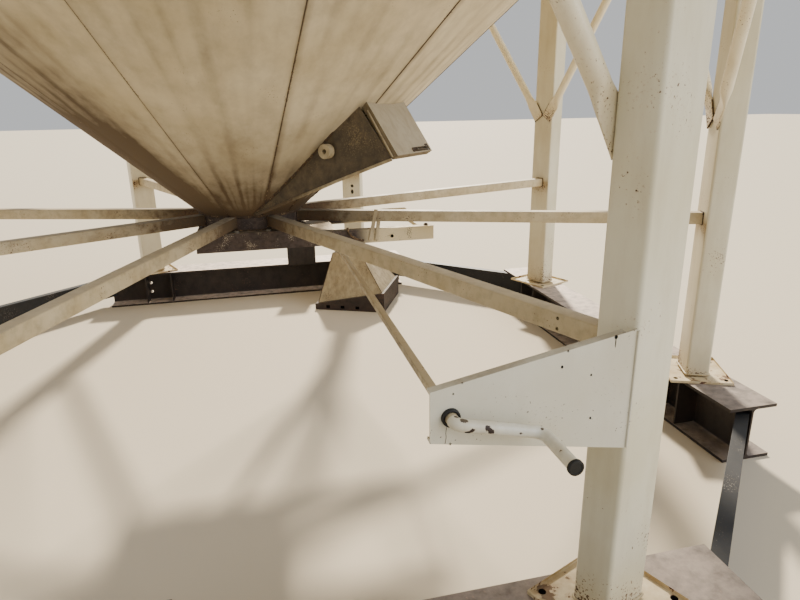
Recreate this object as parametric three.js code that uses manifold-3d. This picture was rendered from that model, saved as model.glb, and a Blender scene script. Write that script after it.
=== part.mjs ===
// Hopper-bottom grain silo: a cone-bottomed steel tank on eight legs and four skid beams,
// with a rack-driven slide gate under the cone. Millimetres, +Z up, standing on Z = 0.
// The slide gate opens along +X and the crank stands on the -Y side.
import * as THREE from "three";
import { mergeVertices } from "three/addons/utils/BufferGeometryUtils.js";
import Module from "manifold-3d";

const wasm = await Module();
wasm.setup();

// Driving dimensions
const seat = 0.3; // gap left between pieces that touch
const weld = 1; // depth by which parts of one piece run into each other
const roundSides = 64; // flat strips round the tank
const legCount = 8;
const ringRadius = 2134; // axis of the tank to the axis of each leg, a 14 foot tank
const firstLegAngle = -67.5; // degrees, leg 1 stands beside the crank

const beam = { depth: 250, flange: 230, flangeThick: 14, web: 9, half: 1197, shortHalf: 1142 };
const beamRib = { thick: 10, outFromLeg: [-135, 55], setBack: 4 };
const beamHole = { radius: 11, outFromLeg: 33, heights: [78, 150] };
const lug = { from: 240, to: 466, height: 145, thick: 16 }; // lifting ears on two beams
const plate = { top: 262, radial: 270, tangent: 305 };
const leg = { depth: 101.6, width: 152.4, corner: 11, wall: 5, top: 2560 };
const tie = { depth: 150, flange: 50, thick: 8, top: 214, out: 1113, stock: 2400 };

const cone = { apexZ: 787, slope: 41.4, thick: 5 };
const ring = { inner: 2052, outer: 2192, thick: 12 };
const wall = { outer: 2137, thick: 5, height: 4877 };
const roof = { slope: 30, thick: 4, overhang: 34, hole: 300 };
const hatch = { height: 90, thick: 6, lidProud: 22, lidThick: 8, skirt: 40, crown: 60, sides: 32 };
const ladder = { angle: -112.5, width: 400, rail: 32, strap: 10, rung: 25, step: 300, out: 170,
  bottom: 2900, aboveWall: 900, firstRung: 100, bareTop: 600 };
const standoff = { count: 4, first: 250, step: 1350 };

const collar = { radius: 240, thick: 7 };
const spoke = { size: 51, corner: 5, wall: 4, hubTop: 998,
  legTops: [976, 1004, 985, 990, 985, 975, 957, 945] };
const brace = { pipe: 48, sides: 12, footZ: 1377, footOut: 33, flatWidth: 76, flatThick: 9, flatLength: 90,
  roundingLength: 75, flatSquareness: 0.3, weldHalf: 9 };

const gate = { shaftX: 362, shaftZ: 879 };
const rail = { half: 290, web: 5, lip: 40, thick: 5, start: -250, end: 848, bottom: 853, top: 918 };
const frontBar = 18; // height of the low bar that ties the rails' far ends
const outlet = { plate: 16, half: 168 }; // square opening over the gate
const slab = { start: -240, end: 385, half: 280, thick: 5, z: 903 };
const rack = { y: 226, width: 18, inset: 4 };
const pinion = { teeth: 12, width: 24 };
const tooth = { pitch: 9.6, addendum: 2.4, dedendum: 2.9, tipHalf: 0.95, half: 1.9, rootHalf: 2.7 };
const shaft = { journal: 13, play: 0.6, bar: 19, barCorner: 2.5, innerEnd: 300, barEnd: -2020, end: -2070 };

const bracket = { y: -2048, thick: 5, left: 320, right: 762, tipUp: 58, tipDown: 54, legUp: 144, legDown: 131,
  lip: 17, bare: 24 };
const bushing = { outer: 19.5, play: 0.5, back: -2030, front: -2062 };
const crank = { pipe: 13.3, y: -2086, elbowX: 547, elbowZ: 836, bend: 26, gripStart: -2211 };
const grip = { radius: 16, end: -2220 };

const chute = { angle: -42, half: 187, narrowFrom: 640, mouthHalf: 150, toe: 180, toeZ: 1004, rise: 20.7,
  heel: 885, mouth: 760, leanAcross: 8 };
const chuteWall = 4;
const chuteLid = { thick: 30, skin: 3, foot: 4, proud: 3, reach: 90 };
const stub = { along: 612, z: 1298, radius: 29, bore: 9, length: 34 };
const boot = { x: 754, y: 1491, turn: -25, foot: 500, deep: 480, neck: 220, neckShift: -50,
  height: 410, wall: 4 };
const bootBase = { lowSide: 45, highSide: 150, proud: 20, wall: 6, slot: 30, slotHeight: 24, slotZ: 26,
  slotsAt: [-170, -55, 60] };

const rad = THREE.MathUtils.degToRad;
const legAngle = (n) => rad(firstLegAngle + (n * 360) / legCount);
const coneUnder = (rho) => cone.apexZ + rho * Math.tan(rad(cone.slope));

// Colours
const paint = (color, roughness = 0.55, metalness = 0.1) => ({ color, roughness, metalness });
const cream = paint(0xd8cfb4);
const shadedCream = paint(0xb9a684);
const rustySteel = paint(0x6b5146, 0.85, 0.3);
const blueGrey = paint(0x77808a, 0.6, 0.5);
const dirtyPaint = paint(0x5a4c3c, 0.8, 0.2);
const black = paint(0x1b1b1c, 0.7, 0);

const silo = new THREE.Group();

function put(parent, name, geometry, look) {
  const mesh = new THREE.Mesh(geometry, new THREE.MeshStandardMaterial(look));
  mesh.name = name;
  parent.add(mesh);
  return mesh;
}

// A three.js geometry as a solid that can be joined and cut.
function solid(geometry, matrix) {
  const bare = (geometry.index ? geometry.toNonIndexed() : geometry.clone());
  for (const name of Object.keys(bare.attributes)) {
    if (name !== "position") bare.deleteAttribute(name);
  }
  if (matrix) bare.applyMatrix4(matrix);
  const merged = mergeVertices(bare, 1e-3);
  return new wasm.Manifold(new wasm.Mesh({
    numProp: 3,
    vertProperties: new Float32Array(merged.attributes.position.array),
    triVerts: new Uint32Array(merged.index.array),
  }));
}

function geometryOf(body) {
  const mesh = body.getMesh();
  const geometry = new THREE.BufferGeometry();
  geometry.setAttribute("position", new THREE.BufferAttribute(new Float32Array(mesh.vertProperties), 3));
  geometry.setIndex(Array.from(mesh.triVerts));
  return geometry;
}

const at = (x, y, z) => new THREE.Matrix4().makeTranslation(x, y, z);
const turnZ = (degrees) => new THREE.Matrix4().makeRotationZ(rad(degrees));

// A box given by its lowest and highest corners.
function block(x0, x1, y0, y1, z0, z1) {
  return new THREE.BoxGeometry(x1 - x0, y1 - y0, z1 - z0)
    .applyMatrix4(at((x0 + x1) / 2, (y0 + y1) / 2, (z0 + z1) / 2));
}

function outline(points) {
  return new THREE.Shape(points.map(([x, y]) => new THREE.Vector2(x, y)));
}

function prism(shape, length, curveSegments = 4) {
  return new THREE.ExtrudeGeometry(shape, { depth: length, bevelEnabled: false, curveSegments });
}

// Stands an outline drawn as (y, z) up and runs it along +X from x0.
const alongX = (x0) => new THREE.Matrix4()
  .makeBasis(new THREE.Vector3(0, 1, 0), new THREE.Vector3(0, 0, 1), new THREE.Vector3(1, 0, 0))
  .setPosition(x0, 0, 0);

// Stands an outline drawn as (x, z) up and runs it along -Y from y0.
const alongMinusY = (y0) => new THREE.Matrix4()
  .makeBasis(new THREE.Vector3(1, 0, 0), new THREE.Vector3(0, 0, 1), new THREE.Vector3(0, -1, 0))
  .setPosition(0, y0, 0);

// A cylinder lying along Y, centred on the origin.
function cylinder(radius, length, sides = 24) {
  return new THREE.CylinderGeometry(radius, radius, length, sides);
}

// A turn or shift in the order of numbers that a solid's transform takes.
const columns = (matrix) => matrix.elements;

// A closed profile of (radius, z) points turned about the tank's axis, as a round of flat strips.
function turned(profile, sides = roundSides) {
  const points = [...profile, profile[0]].map(([rho, z]) => new THREE.Vector2(rho, z));
  return new THREE.LatheGeometry(points, sides).applyMatrix4(new THREE.Matrix4().makeRotationX(Math.PI / 2));
}

function roundedRectangle(width, height, radius) {
  const shape = new THREE.Shape();
  const w = width / 2 - radius;
  const h = height / 2 - radius;
  shape.moveTo(w, -h - radius);
  shape.absarc(w, -h, radius, -Math.PI / 2, 0);
  shape.absarc(w, h, radius, 0, Math.PI / 2);
  shape.absarc(-w, h, radius, Math.PI / 2, Math.PI);
  shape.absarc(-w, -h, radius, Math.PI, 1.5 * Math.PI);
  return shape;
}

// Skid beams: wide-flange sections, each under two legs, with ribs at the legs
const legLine = ringRadius * Math.cos(Math.PI / legCount);
const legStep = ringRadius * Math.sin(Math.PI / legCount);

function beamOutline() {
  const f = beam.flange / 2;
  const w = beam.web / 2;
  const t = beam.flangeThick;
  const d = beam.depth;
  return outline([[-f, 0], [f, 0], [f, t], [w, t], [w, d - t], [f, d - t],
    [f, d], [-f, d], [-f, d - t], [-w, d - t], [-w, t], [-f, t]]);
}

function skidBeam(withLug, rightEnd) {
  let body = solid(prism(beamOutline(), beam.half + rightEnd), alongX(-beam.half));
  const reach = beam.flange / 2 - beamRib.setBack;
  const low = beam.flangeThick - weld;
  const high = beam.depth - beam.flangeThick + weld;
  for (const side of [-1, 1]) {
    for (const out of beamRib.outFromLeg) {
      const x = side * (legStep + out);
      const half = beamRib.thick / 2;
      body = body.add(solid(block(x - half, x + half, -reach, reach, low, high)));
    }
    for (const z of beamHole.heights) {
      const hole = cylinder(beamHole.radius, 4 * beam.web, 12);
      body = body.subtract(solid(hole, at(side * (legStep + beamHole.outFromLeg), 0, z)));
    }
  }
  if (withLug) {
    const inner = beam.flange / 2;
    const top = beam.depth + lug.height;
    const ear = block(-lug.to, -lug.from, inner - lug.thick, inner, beam.depth - weld, top);
    body = body.add(solid(ear));
  }
  return geometryOf(body);
}

for (const [side, turn] of [["south", 0], ["east", 90], ["north", 180], ["west", 270]]) {
  const frame = new THREE.Group();
  frame.rotation.z = rad(turn);
  frame.position.set(legLine * Math.sin(rad(turn)), -legLine * Math.cos(rad(turn)), 0);
  const rightEnd = side === "north" ? beam.shortHalf : beam.half;
  put(frame, `skid_beam_${side}`, skidBeam(side === "north" || side === "south", rightEnd), rustySteel);
  silo.add(frame);
}

// Corner ties: channels on edge from web to web, cut to the slant of the webs
function cornerTie() {
  const webFace = legLine - beam.web / 2 - seat;
  const middle = (webFace + tie.out) / Math.SQRT2;
  const channel = outline([[0, 0], [tie.flange, 0], [tie.flange, tie.thick], [tie.thick, tie.thick],
    [tie.thick, tie.depth - tie.thick], [tie.flange, tie.depth - tie.thick],
    [tie.flange, tie.depth], [0, tie.depth]]);
  const bottom = at(middle, 0, tie.top - tie.depth);
  let bar = solid(prism(channel, tie.stock), bottom.multiply(alongMinusY(tie.stock / 2)));
  bar = bar.transform(columns(turnZ(-45)));
  const keep = block(0, webFace, -webFace, 0, 0, beam.depth);
  return geometryOf(bar.intersect(solid(keep)));
}

for (const [corner, turn] of [["southeast", 0], ["northeast", 90], ["northwest", 180], ["southwest", 270]]) {
  put(silo, `corner_tie_${corner}`, cornerTie(), blueGrey).rotation.z = rad(turn);
}

// A rectangular tube along +Z from the origin, open at both ends.
function tube(width, height, corner, thick, length) {
  const outer = solid(prism(roundedRectangle(width, height, corner), length));
  const hollow = roundedRectangle(width - 2 * thick, height - 2 * thick, corner - thick + weld);
  return outer.subtract(solid(prism(hollow, length + 2 * weld), at(0, 0, -weld)));
}

// Legs: rectangular tube on a base plate, one flat side facing out
function legWithPlate() {
  const low = beam.depth + seat;
  const r = plate.radial / 2;
  const t = plate.tangent / 2;
  const foot = block(-r, r, -t, t, low, plate.top);
  const post = tube(leg.depth, leg.width, leg.corner, leg.wall, leg.top - plate.top + weld);
  return geometryOf(solid(foot).add(post.translate([0, 0, plate.top - weld])));
}

// Spoke: a tube from the collar to a leg, leaning a little, with both ends cut upright
const legFace = ringRadius - leg.depth / 2 - seat;

function spokeBody(legTop) {
  const inner = collar.radius + seat;
  const lean = Math.atan2(legTop - spoke.hubTop, legFace - inner);
  const bar = tube(spoke.size, spoke.size, spoke.corner, spoke.wall, legFace - inner + 2 * spoke.size);
  const place = at(inner, 0, spoke.hubTop - spoke.size / 2)
    .multiply(new THREE.Matrix4().makeRotationY(-lean)).multiply(alongX(-spoke.size));
  const keep = block(inner, legFace, -spoke.size, spoke.size, 0, 2 * spoke.hubTop);
  return geometryOf(bar.transform(columns(place)).intersect(solid(keep)));
}

for (let n = 0; n < legCount; n += 1) {
  const frame = new THREE.Group();
  frame.rotation.z = legAngle(n);
  put(frame, `leg_${n + 1}`, legWithPlate(), cream).position.set(ringRadius, 0, 0);
  put(frame, `spoke_${n + 1}`, spokeBody(spoke.legTops[n]), shadedCream);
  silo.add(frame);
}

// A closed skin over rings of points, each ring running anticlockwise seen from the last one.
function loft(rings) {
  const count = rings[0].length;
  const last = (rings.length - 1) * count;
  const faces = [];
  for (let r = 0; r < last; r += count) {
    for (let k = 0; k < count; k += 1) {
      const a = r + k;
      const b = r + ((k + 1) % count);
      faces.push(a, b, b + count, a, b + count, a + count);
    }
  }
  for (let k = 1; k + 1 < count; k += 1) faces.push(0, k + 1, k, last, last + k, last + k + 1);
  const points = rings.flat().flatMap((point) => point.toArray());
  const geometry = new THREE.BufferGeometry();
  geometry.setAttribute("position", new THREE.BufferAttribute(new Float32Array(points), 3));
  geometry.setIndex(faces);
  return solid(geometry);
}

// Brace pipe: squashed flat against the leg at its foot, then round up to the ring
function bracePipe(side) {
  const half = Math.PI / legCount;
  const foot = new THREE.Vector3(legFace - brace.flatThick / 2, side * brace.footOut, brace.footZ);
  const end = new THREE.Vector3(ringRadius * Math.cos(half), side * ringRadius * Math.sin(half),
    leg.top - brace.pipe);
  const upFace = end.clone().sub(foot).setX(0).normalize();
  const bend = foot.clone().addScaledVector(upFace, brace.flatLength);
  const toRing = end.clone().sub(bend).normalize();
  const inward = new THREE.Vector3(-1, 0, 0);
  const across = upFace.clone().cross(inward);
  const ringAt = (centre, along, wide, thick, squareness) => {
    const out = along.clone().cross(across);
    return Array.from({ length: brace.sides }, (_, k) => {
      const turn = ((k + 0.5) / brace.sides) * 2 * Math.PI;
      const up = Math.sign(Math.sin(turn)) * Math.abs(Math.sin(turn)) ** squareness;
      return centre.clone().addScaledVector(across, (Math.cos(turn) * wide) / 2)
        .addScaledVector(out, (up * thick) / 2);
    });
  };
  const flat = brace.flatSquareness;
  const middle = (a, b) => (a + b) / 2;
  return loft([
    ringAt(foot, upFace, brace.flatWidth, brace.flatThick, flat),
    ringAt(bend, upFace, brace.flatWidth, brace.flatThick, flat),
    ringAt(bend.clone().addScaledVector(toRing, brace.roundingLength / 2), toRing,
      middle(brace.flatWidth, brace.pipe), middle(brace.flatThick, brace.pipe), middle(flat, 1)),
    ringAt(bend.clone().addScaledVector(toRing, brace.roundingLength), toRing, brace.pipe, brace.pipe, 1),
    ringAt(end, toRing, brace.pipe, brace.pipe, 1),
  ]);
}

// Brace pairs: two pipes rising from one weld on a leg to the ring halfway to the next legs
function bracePair() {
  const half = Math.PI / legCount;
  const w = brace.weldHalf;
  const meet = brace.footZ + brace.flatWidth / 4;
  const spot = block(legFace - brace.flatThick, legFace, -w, w, meet - w, meet + w);
  const body = solid(spot).add(bracePipe(-1)).add(bracePipe(1));
  const out = 1.4 * ringRadius;
  const sector = outline([[0, 0], [out, -out * Math.tan(half)], [out, out * Math.tan(half)]]);
  const keep = solid(prism(sector, leg.top - seat), at(4 * seat, 0, 0));
  const legOutline = roundedRectangle(leg.depth + 2 * seat, leg.width + 2 * seat, leg.corner);
  const post = solid(prism(legOutline, leg.top), at(ringRadius, 0, 0));
  return geometryOf(body.intersect(keep).subtract(post));
}

for (let n = 0; n < legCount; n += 1) {
  put(silo, `brace_pair_${n + 1}`, bracePair(), cream).rotation.z = legAngle(n);
}

// Ring on the legs, tank wall on the ring, hopper cone inside the wall
const ringLow = leg.top + seat;
const ringTop = ringLow + ring.thick;
const wallLow = ringTop + seat;
const wallInner = wall.outer - wall.thick;
const wallTop = wallLow + wall.height;
put(silo, "ring_plate", turned([[ring.inner, ringLow], [ring.outer, ringLow],
  [ring.outer, ringTop], [ring.inner, ringTop]]), cream);
put(silo, "tank_wall", turned([[wallInner, wallLow], [wall.outer, wallLow],
  [wall.outer, wallTop], [wallInner, wallTop]]), cream);

const coneRise = cone.thick / Math.cos(rad(cone.slope));
const coneFoot = collar.radius - collar.thick + seat;
const coneRim = wallInner - seat;
put(silo, "hopper_cone", turned([[coneFoot, coneUnder(coneFoot)], [coneRim, coneUnder(coneRim)],
  [coneRim, coneUnder(coneRim) + coneRise], [coneFoot, coneUnder(coneFoot) + coneRise]]), shadedCream);

// Roof: a plain cone over the wall, with a round filling hatch and its lid
const roofAt = (rho) => wallTop + seat + (wall.outer - rho) * Math.tan(rad(roof.slope));
const roofRise = roof.thick / Math.cos(rad(roof.slope));
const eave = wall.outer + roof.overhang;
put(silo, "roof_cone", turned([[roof.hole, roofAt(roof.hole)], [eave, roofAt(eave)],
  [eave, roofAt(eave) + roofRise], [roof.hole, roofAt(roof.hole) + roofRise]]), cream);
const hatchLow = roofAt(roof.hole) + roofRise + seat;
const hatchTop = hatchLow + hatch.height;
put(silo, "roof_collar", turned([[roof.hole, hatchLow], [roof.hole + hatch.thick, hatchLow],
  [roof.hole + hatch.thick, hatchTop], [roof.hole, hatchTop]], hatch.sides), cream);
const lidOuter = roof.hole + hatch.lidProud;
const lidInner = lidOuter - hatch.thick;
const lidUnder = hatchTop + seat;
put(silo, "roof_lid", turned([[0, lidUnder + hatch.crown], [roof.hole, lidUnder], [lidInner, lidUnder],
  [lidInner, hatchTop - hatch.skirt], [lidOuter, hatchTop - hatch.skirt],
  [lidOuter, hatchTop + hatch.lidThick], [0, hatchTop + hatch.lidThick + hatch.crown]], hatch.sides), cream);

// Ladder up the wall to the eave
function ladderBody() {
  const half = ladder.width / 2;
  const sideDrop = (half - ladder.strap / 2) * Math.tan(Math.PI / roundSides); // the wall curves away
  const face = wall.outer - sideDrop + seat;
  const out = wall.outer + ladder.out;
  const top = wallTop + ladder.aboveWall;
  const bar = ladder.rail / 2;
  const pieces = [];
  for (const side of [-1, 1]) {
    const near = side * half - ladder.strap / 2;
    const far = side * half + ladder.strap / 2;
    pieces.push(solid(block(out - bar, out + bar, near, far, ladder.bottom, top)));
    for (let n = 0; n < standoff.count; n += 1) {
      const z = ladder.bottom + standoff.first + n * standoff.step;
      pieces.push(solid(block(face, out, near, far, z - bar, z + bar)));
    }
  }
  for (let z = ladder.bottom + ladder.firstRung; z < top - ladder.bareTop; z += ladder.step) {
    pieces.push(solid(cylinder(ladder.rung / 2, ladder.width, 8), at(out, 0, z)));
  }
  return geometryOf(wasm.Manifold.union(pieces));
}

put(silo, "ladder", ladderBody(), cream).rotation.z = rad(ladder.angle);

// Discharge collar under the cone, on the gate frame
const outletTop = rail.top + outlet.plate;
put(silo, "discharge_collar", turned([
  [collar.radius - collar.thick, outletTop + seat], [collar.radius, outletTop + seat],
  [collar.radius, coneUnder(coneFoot) - 2 * seat],
  [collar.radius - collar.thick, coneUnder(coneFoot) - 2 * seat]]), dirtyPaint);

// Gate frame: two rails with a ledge for the gate, a pierced top plate, and closed ends
function railOutline(side) {
  const w = rail.half;
  const i = rail.half - rail.web;
  const e = rail.half - rail.lip;
  const t = rail.thick;
  const ledge = slab.z - seat;
  const points = [[w, rail.bottom], [w, rail.top], [e, rail.top], [e, rail.top - t], [i, rail.top - t],
    [i, ledge], [e, ledge], [e, ledge - t], [i, ledge - t], [i, rail.bottom + t], [e, rail.bottom + t],
    [e, rail.bottom]];
  return outline(points.map(([y, z]) => [side * y, z]));
}

function gateFrame() {
  const length = rail.end - rail.start;
  const y = rail.half;
  const start = rail.start;
  const pieces = [-1, 1].map((side) => solid(prism(railOutline(side), length), alongX(start)));
  pieces.push(solid(block(start, -start, -y, y, rail.top - weld, outletTop)));
  pieces.push(solid(block(start, start + rail.thick, -y, y, rail.bottom, rail.top)));
  pieces.push(solid(block(rail.end - rail.thick, rail.end, -y, y, rail.bottom, rail.bottom + frontBar)));
  const opening = block(-outlet.half, outlet.half, -outlet.half, outlet.half, rail.top - 2 * weld,
    outletTop + weld);
  const bore = cylinder(shaft.journal + shaft.play, 3 * y).applyMatrix4(at(gate.shaftX, 0, gate.shaftZ));
  return geometryOf(wasm.Manifold.union(pieces).subtract(solid(opening)).subtract(solid(bore)));
}

put(silo, "gate_frame", gateFrame(), dirtyPaint);

// Gate: a flat plate on the ledges, with two toothed racks under it. A gap between two teeth
// stands over the shaft when the gate is shut.
const pitchRadius = (pinion.teeth * tooth.pitch) / (2 * Math.PI);
const rackLine = gate.shaftZ + pitchRadius;

function rackOutline() {
  const first = slab.start + rack.inset;
  const last = slab.end - rack.inset;
  const tip = rackLine - tooth.addendum;
  const root = rackLine + tooth.dedendum;
  const points = [[first, slab.z + weld], [first, root]];
  const teethBefore = Math.floor((gate.shaftX - first) / tooth.pitch - 1);
  for (let n = -teethBefore; ; n += 1) {
    const x = gate.shaftX + (n - 0.5) * tooth.pitch;
    if (x + tooth.pitch > last) break;
    points.push([x - tooth.rootHalf, root], [x - tooth.tipHalf, tip]);
    points.push([x + tooth.tipHalf, tip], [x + tooth.rootHalf, root]);
  }
  points.push([last, root], [last, slab.z + weld]);
  return outline(points);
}

function gatePlate() {
  const pieces = [solid(block(slab.start, slab.end, -slab.half, slab.half, slab.z, slab.z + slab.thick))];
  for (const side of [-1, 1]) {
    pieces.push(solid(prism(rackOutline(), rack.width), alongMinusY(side * rack.y + rack.width / 2)));
  }
  return geometryOf(wasm.Manifold.union(pieces));
}

put(silo, "slide_gate", gatePlate(), rustySteel);

// Gate shaft: round where it turns in the frame and the bushing, square between them
function gearOutline() {
  const points = [];
  for (let n = 0; n < pinion.teeth; n += 1) {
    const middle = Math.PI / 2 + (n / pinion.teeth) * 2 * Math.PI;
    for (const [out, side] of [[-tooth.dedendum, -tooth.rootHalf], [0, -tooth.half],
      [tooth.addendum, -tooth.tipHalf], [tooth.addendum, tooth.tipHalf],
      [0, tooth.half], [-tooth.dedendum, tooth.rootHalf]]) {
      const reach = pitchRadius + out;
      points.push([reach * Math.cos(middle) - side * Math.sin(middle),
        reach * Math.sin(middle) + side * Math.cos(middle)]);
    }
  }
  return outline(points);
}

function gateShaft() {
  const round = (from, to) => solid(cylinder(shaft.journal, from - to, 24), at(0, (from + to) / 2, 0));
  const barStart = -rail.half - 2 * weld;
  const bar = prism(roundedRectangle(shaft.bar, shaft.bar, shaft.barCorner), barStart - shaft.barEnd, 2);
  const pieces = [round(shaft.innerEnd, -shaft.innerEnd), solid(bar, alongMinusY(barStart)),
    round(shaft.barEnd + weld, shaft.end)];
  for (const side of [-1, 1]) {
    pieces.push(solid(prism(gearOutline(), pinion.width), alongMinusY(side * rack.y + pinion.width / 2)));
  }
  return geometryOf(wasm.Manifold.union(pieces));
}

const axle = new THREE.Group();
axle.position.set(gate.shaftX, 0, gate.shaftZ);
silo.add(axle);
put(axle, "gate_shaft", gateShaft(), cream);

// Crank: a bent pipe on the end of the shaft, with a rubber cap
function crankPath() {
  const dx = crank.elbowX - gate.shaftX;
  const dz = crank.elbowZ - gate.shaftZ;
  const reach = Math.hypot(dx, dz);
  const corner = (x, z) => new THREE.Vector3(x, crank.y, z);
  const first = corner(0, 0);
  const second = corner(dx, dz);
  const armAt = (distance) => corner((dx * distance) / reach, (dz * distance) / reach);
  const out = (point, distance) => point.clone().setY(crank.y - distance);
  const path = new THREE.CurvePath();
  const startOut = new THREE.Vector3(0, shaft.end - seat, 0);
  path.add(new THREE.QuadraticBezierCurve3(startOut, first, armAt(crank.bend)));
  path.add(new THREE.LineCurve3(armAt(crank.bend), armAt(reach - crank.bend)));
  path.add(new THREE.QuadraticBezierCurve3(armAt(reach - crank.bend), second, out(second, crank.bend)));
  path.add(new THREE.LineCurve3(out(second, crank.bend), second.clone().setY(crank.gripStart)));
  return path;
}

const pipeRound = new THREE.Shape().absarc(0, 0, crank.pipe, 0, 2 * Math.PI);
put(axle, "crank_handle", new THREE.ExtrudeGeometry(pipeRound,
  { extrudePath: crankPath(), steps: 36, bevelEnabled: false, curveSegments: 12 }), cream);
const capLength = crank.gripStart - seat - grip.end;
put(axle, "crank_grip", cylinder(grip.radius, capLength, 20), black)
  .position.set(crank.elbowX - gate.shaftX, grip.end + capLength / 2, crank.elbowZ - gate.shaftZ);

// Crank bracket: a tapered plate off the first leg's outer corner, with a folded top edge
function crankBracket() {
  const z = gate.shaftZ;
  const side = outline([[bracket.left, z - bracket.tipDown], [bracket.right, z - bracket.legDown],
    [bracket.right, z + bracket.legUp], [bracket.left, z + bracket.tipUp]]);
  let body = solid(prism(side, bracket.thick), alongMinusY(bracket.y));
  const run = bracket.right - bracket.left;
  const inFront = bracket.y - bracket.thick;
  const edges = [[1, bracket.tipUp, bracket.legUp], [-1, bracket.tipDown, bracket.legDown]];
  for (const [edge, tip, wide] of edges) {
    const lean = Math.atan2(wide - tip, run);
    const slant = Math.hypot(run, wide - tip);
    const fold = block(0, slant - bracket.bare, inFront, bracket.y + bracket.lip,
      -bracket.thick / 2, bracket.thick / 2);
    const place = at(bracket.left, 0, z + edge * (tip - bracket.thick / 2))
      .multiply(new THREE.Matrix4().makeRotationY(-edge * lean));
    body = body.add(solid(fold, place));
  }
  const bore = cylinder(bushing.outer + seat, 4 * bracket.lip).applyMatrix4(at(gate.shaftX, bracket.y, z));
  return geometryOf(body.subtract(solid(bore)));
}

put(silo, "crank_bracket", crankBracket(), cream);

function bushingBody() {
  const lie = at(gate.shaftX, (bushing.back + bushing.front) / 2, gate.shaftZ);
  const length = bushing.back - bushing.front;
  const body = solid(cylinder(bushing.outer, length, 24), lie);
  return geometryOf(body.subtract(solid(cylinder(shaft.journal + bushing.play, 2 * length, 24), lie)));
}

put(silo, "crank_bushing", bushingBody(), black);

// Inspection chute under the cone: a floor, two sides and a short end, with a lid across its mouth
function underCone() {
  const gap = seat / Math.cos(rad(cone.slope));
  const reach = 2 * chute.mouth;
  return solid(turned([[0, cone.apexZ - gap], [reach, coneUnder(reach) - gap], [0, coneUnder(reach) - gap]]));
}

const floorAt = (rho) => chute.toeZ + (rho - chute.toe) * Math.tan(rad(chute.rise));
const mouthTop = [chute.mouth, coneUnder(chute.mouth)];
const mouthFoot = [chute.heel, floorAt(chute.heel)];
const mouthSlant = Math.atan2(mouthTop[1] - mouthFoot[1], mouthTop[0] - mouthFoot[0]);
const mouthOut = [Math.sin(mouthSlant), -Math.cos(mouthSlant)];
const mouthUp = [Math.cos(mouthSlant), Math.sin(mouthSlant)];
const moved = (way, [rho, z], distance) => [rho + way[0] * distance, z + way[1] * distance];
const outward = (point, distance) => moved(mouthOut, point, distance);
const upward = (point, distance) => moved(mouthUp, point, distance);

// An outline in the chute's own upright plane, spread to both sides of it.
function spread(points, half) {
  return solid(prism(outline(points), 2 * half), alongMinusY(half));
}

// A body drawn in the chute's own plane, turned into place and trimmed to fit under the cone.
function underTheCone(body) {
  return geometryOf(body.transform(columns(turnZ(chute.angle))).subtract(underCone()));
}

const chuteTop = upward(mouthTop, chuteLid.reach)[1];
const pastMouth = 2 * chute.heel;

// What lies above the chute's floor, which also rises from the near side to the far one.
function aboveFloor(lift) {
  const wide = 2 * chute.half;
  const rise = Math.tan(rad(chute.leanAcross));
  const lean = new THREE.Matrix4().makeShear(0, 0, 0, rise, 0, 0).setPosition(0, 0, rise * chute.half);
  return spread([[0, floorAt(0) + lift], [pastMouth, floorAt(pastMouth) + lift],
    [pastMouth, 2 * chuteTop], [0, 2 * chuteTop]], wide).transform(columns(lean));
}

// The chute seen from above: its sides run level, then draw in to the mouth.
function betweenSides(less, start) {
  const wide = chute.half - less;
  const narrow = chute.mouthHalf - less;
  const plan = outline([[start, -wide], [chute.narrowFrom, -wide], [chute.heel, -narrow],
    [pastMouth, -narrow], [pastMouth, narrow], [chute.heel, narrow], [chute.narrowFrom, wide],
    [start, wide]]);
  return solid(prism(plan, 2 * chuteTop));
}

const chuteSide = spread([[chute.toe, 0], [chute.heel, 0], mouthFoot, upward(mouthTop, chuteLid.reach),
  [chute.toe, chuteTop]], chute.half);
const wholeChute = chuteSide.intersect(aboveFloor(0)).intersect(betweenSides(0, chute.toe));
const floorRise = chuteWall / Math.cos(rad(chute.rise));
const chuteHollow = aboveFloor(floorRise).intersect(betweenSides(chuteWall, chute.toe + chuteWall));
put(silo, "chute_box", underTheCone(wholeChute.subtract(chuteHollow)), dirtyPaint);

const lidHalf = chute.mouthHalf + chuteLid.proud;
const lidFoot = outward(upward(mouthFoot, -chuteLid.foot), seat);
const lidHead = outward(upward(mouthTop, chuteLid.reach), seat);
const lidPanel = spread([lidFoot, outward(lidFoot, chuteLid.thick), outward(lidHead, chuteLid.thick),
  lidHead], lidHalf);
const panFoot = outward(upward(lidFoot, chuteWall), -weld);
const panHead = outward(upward(lidHead, chuteWall), -weld);
const panDepth = chuteLid.thick - chuteLid.skin + weld;
const lidPan = spread([panFoot, outward(panFoot, panDepth), outward(panHead, panDepth), panHead],
  lidHalf - chuteWall);
put(silo, "chute_lid", underTheCone(lidPanel.subtract(lidPan)), cream);

// A short stub of pipe on the chute's near side
const stubFrame = new THREE.Group();
stubFrame.rotation.z = rad(chute.angle);
const stubRing = solid(cylinder(stub.radius, stub.length, 20))
  .subtract(solid(cylinder(stub.bore, 2 * stub.length, 12)));
put(stubFrame, "chute_stub", geometryOf(stubRing), cream)
  .position.set(stub.along, -chute.half - seat - stub.length / 2, stub.z);
silo.add(stubFrame);

// Outlet boot: a four-sided funnel taken off the outlet, on a slotted base that is higher on one side
const footHalf = boot.foot / 2 + bootBase.proud;
const footDeep = boot.deep / 2 + bootBase.proud;
const baseSlope = (bootBase.highSide - bootBase.lowSide) / (2 * footHalf);
const baseTop = (x) => bootBase.lowSide + (x + footHalf) * baseSlope;

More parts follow.
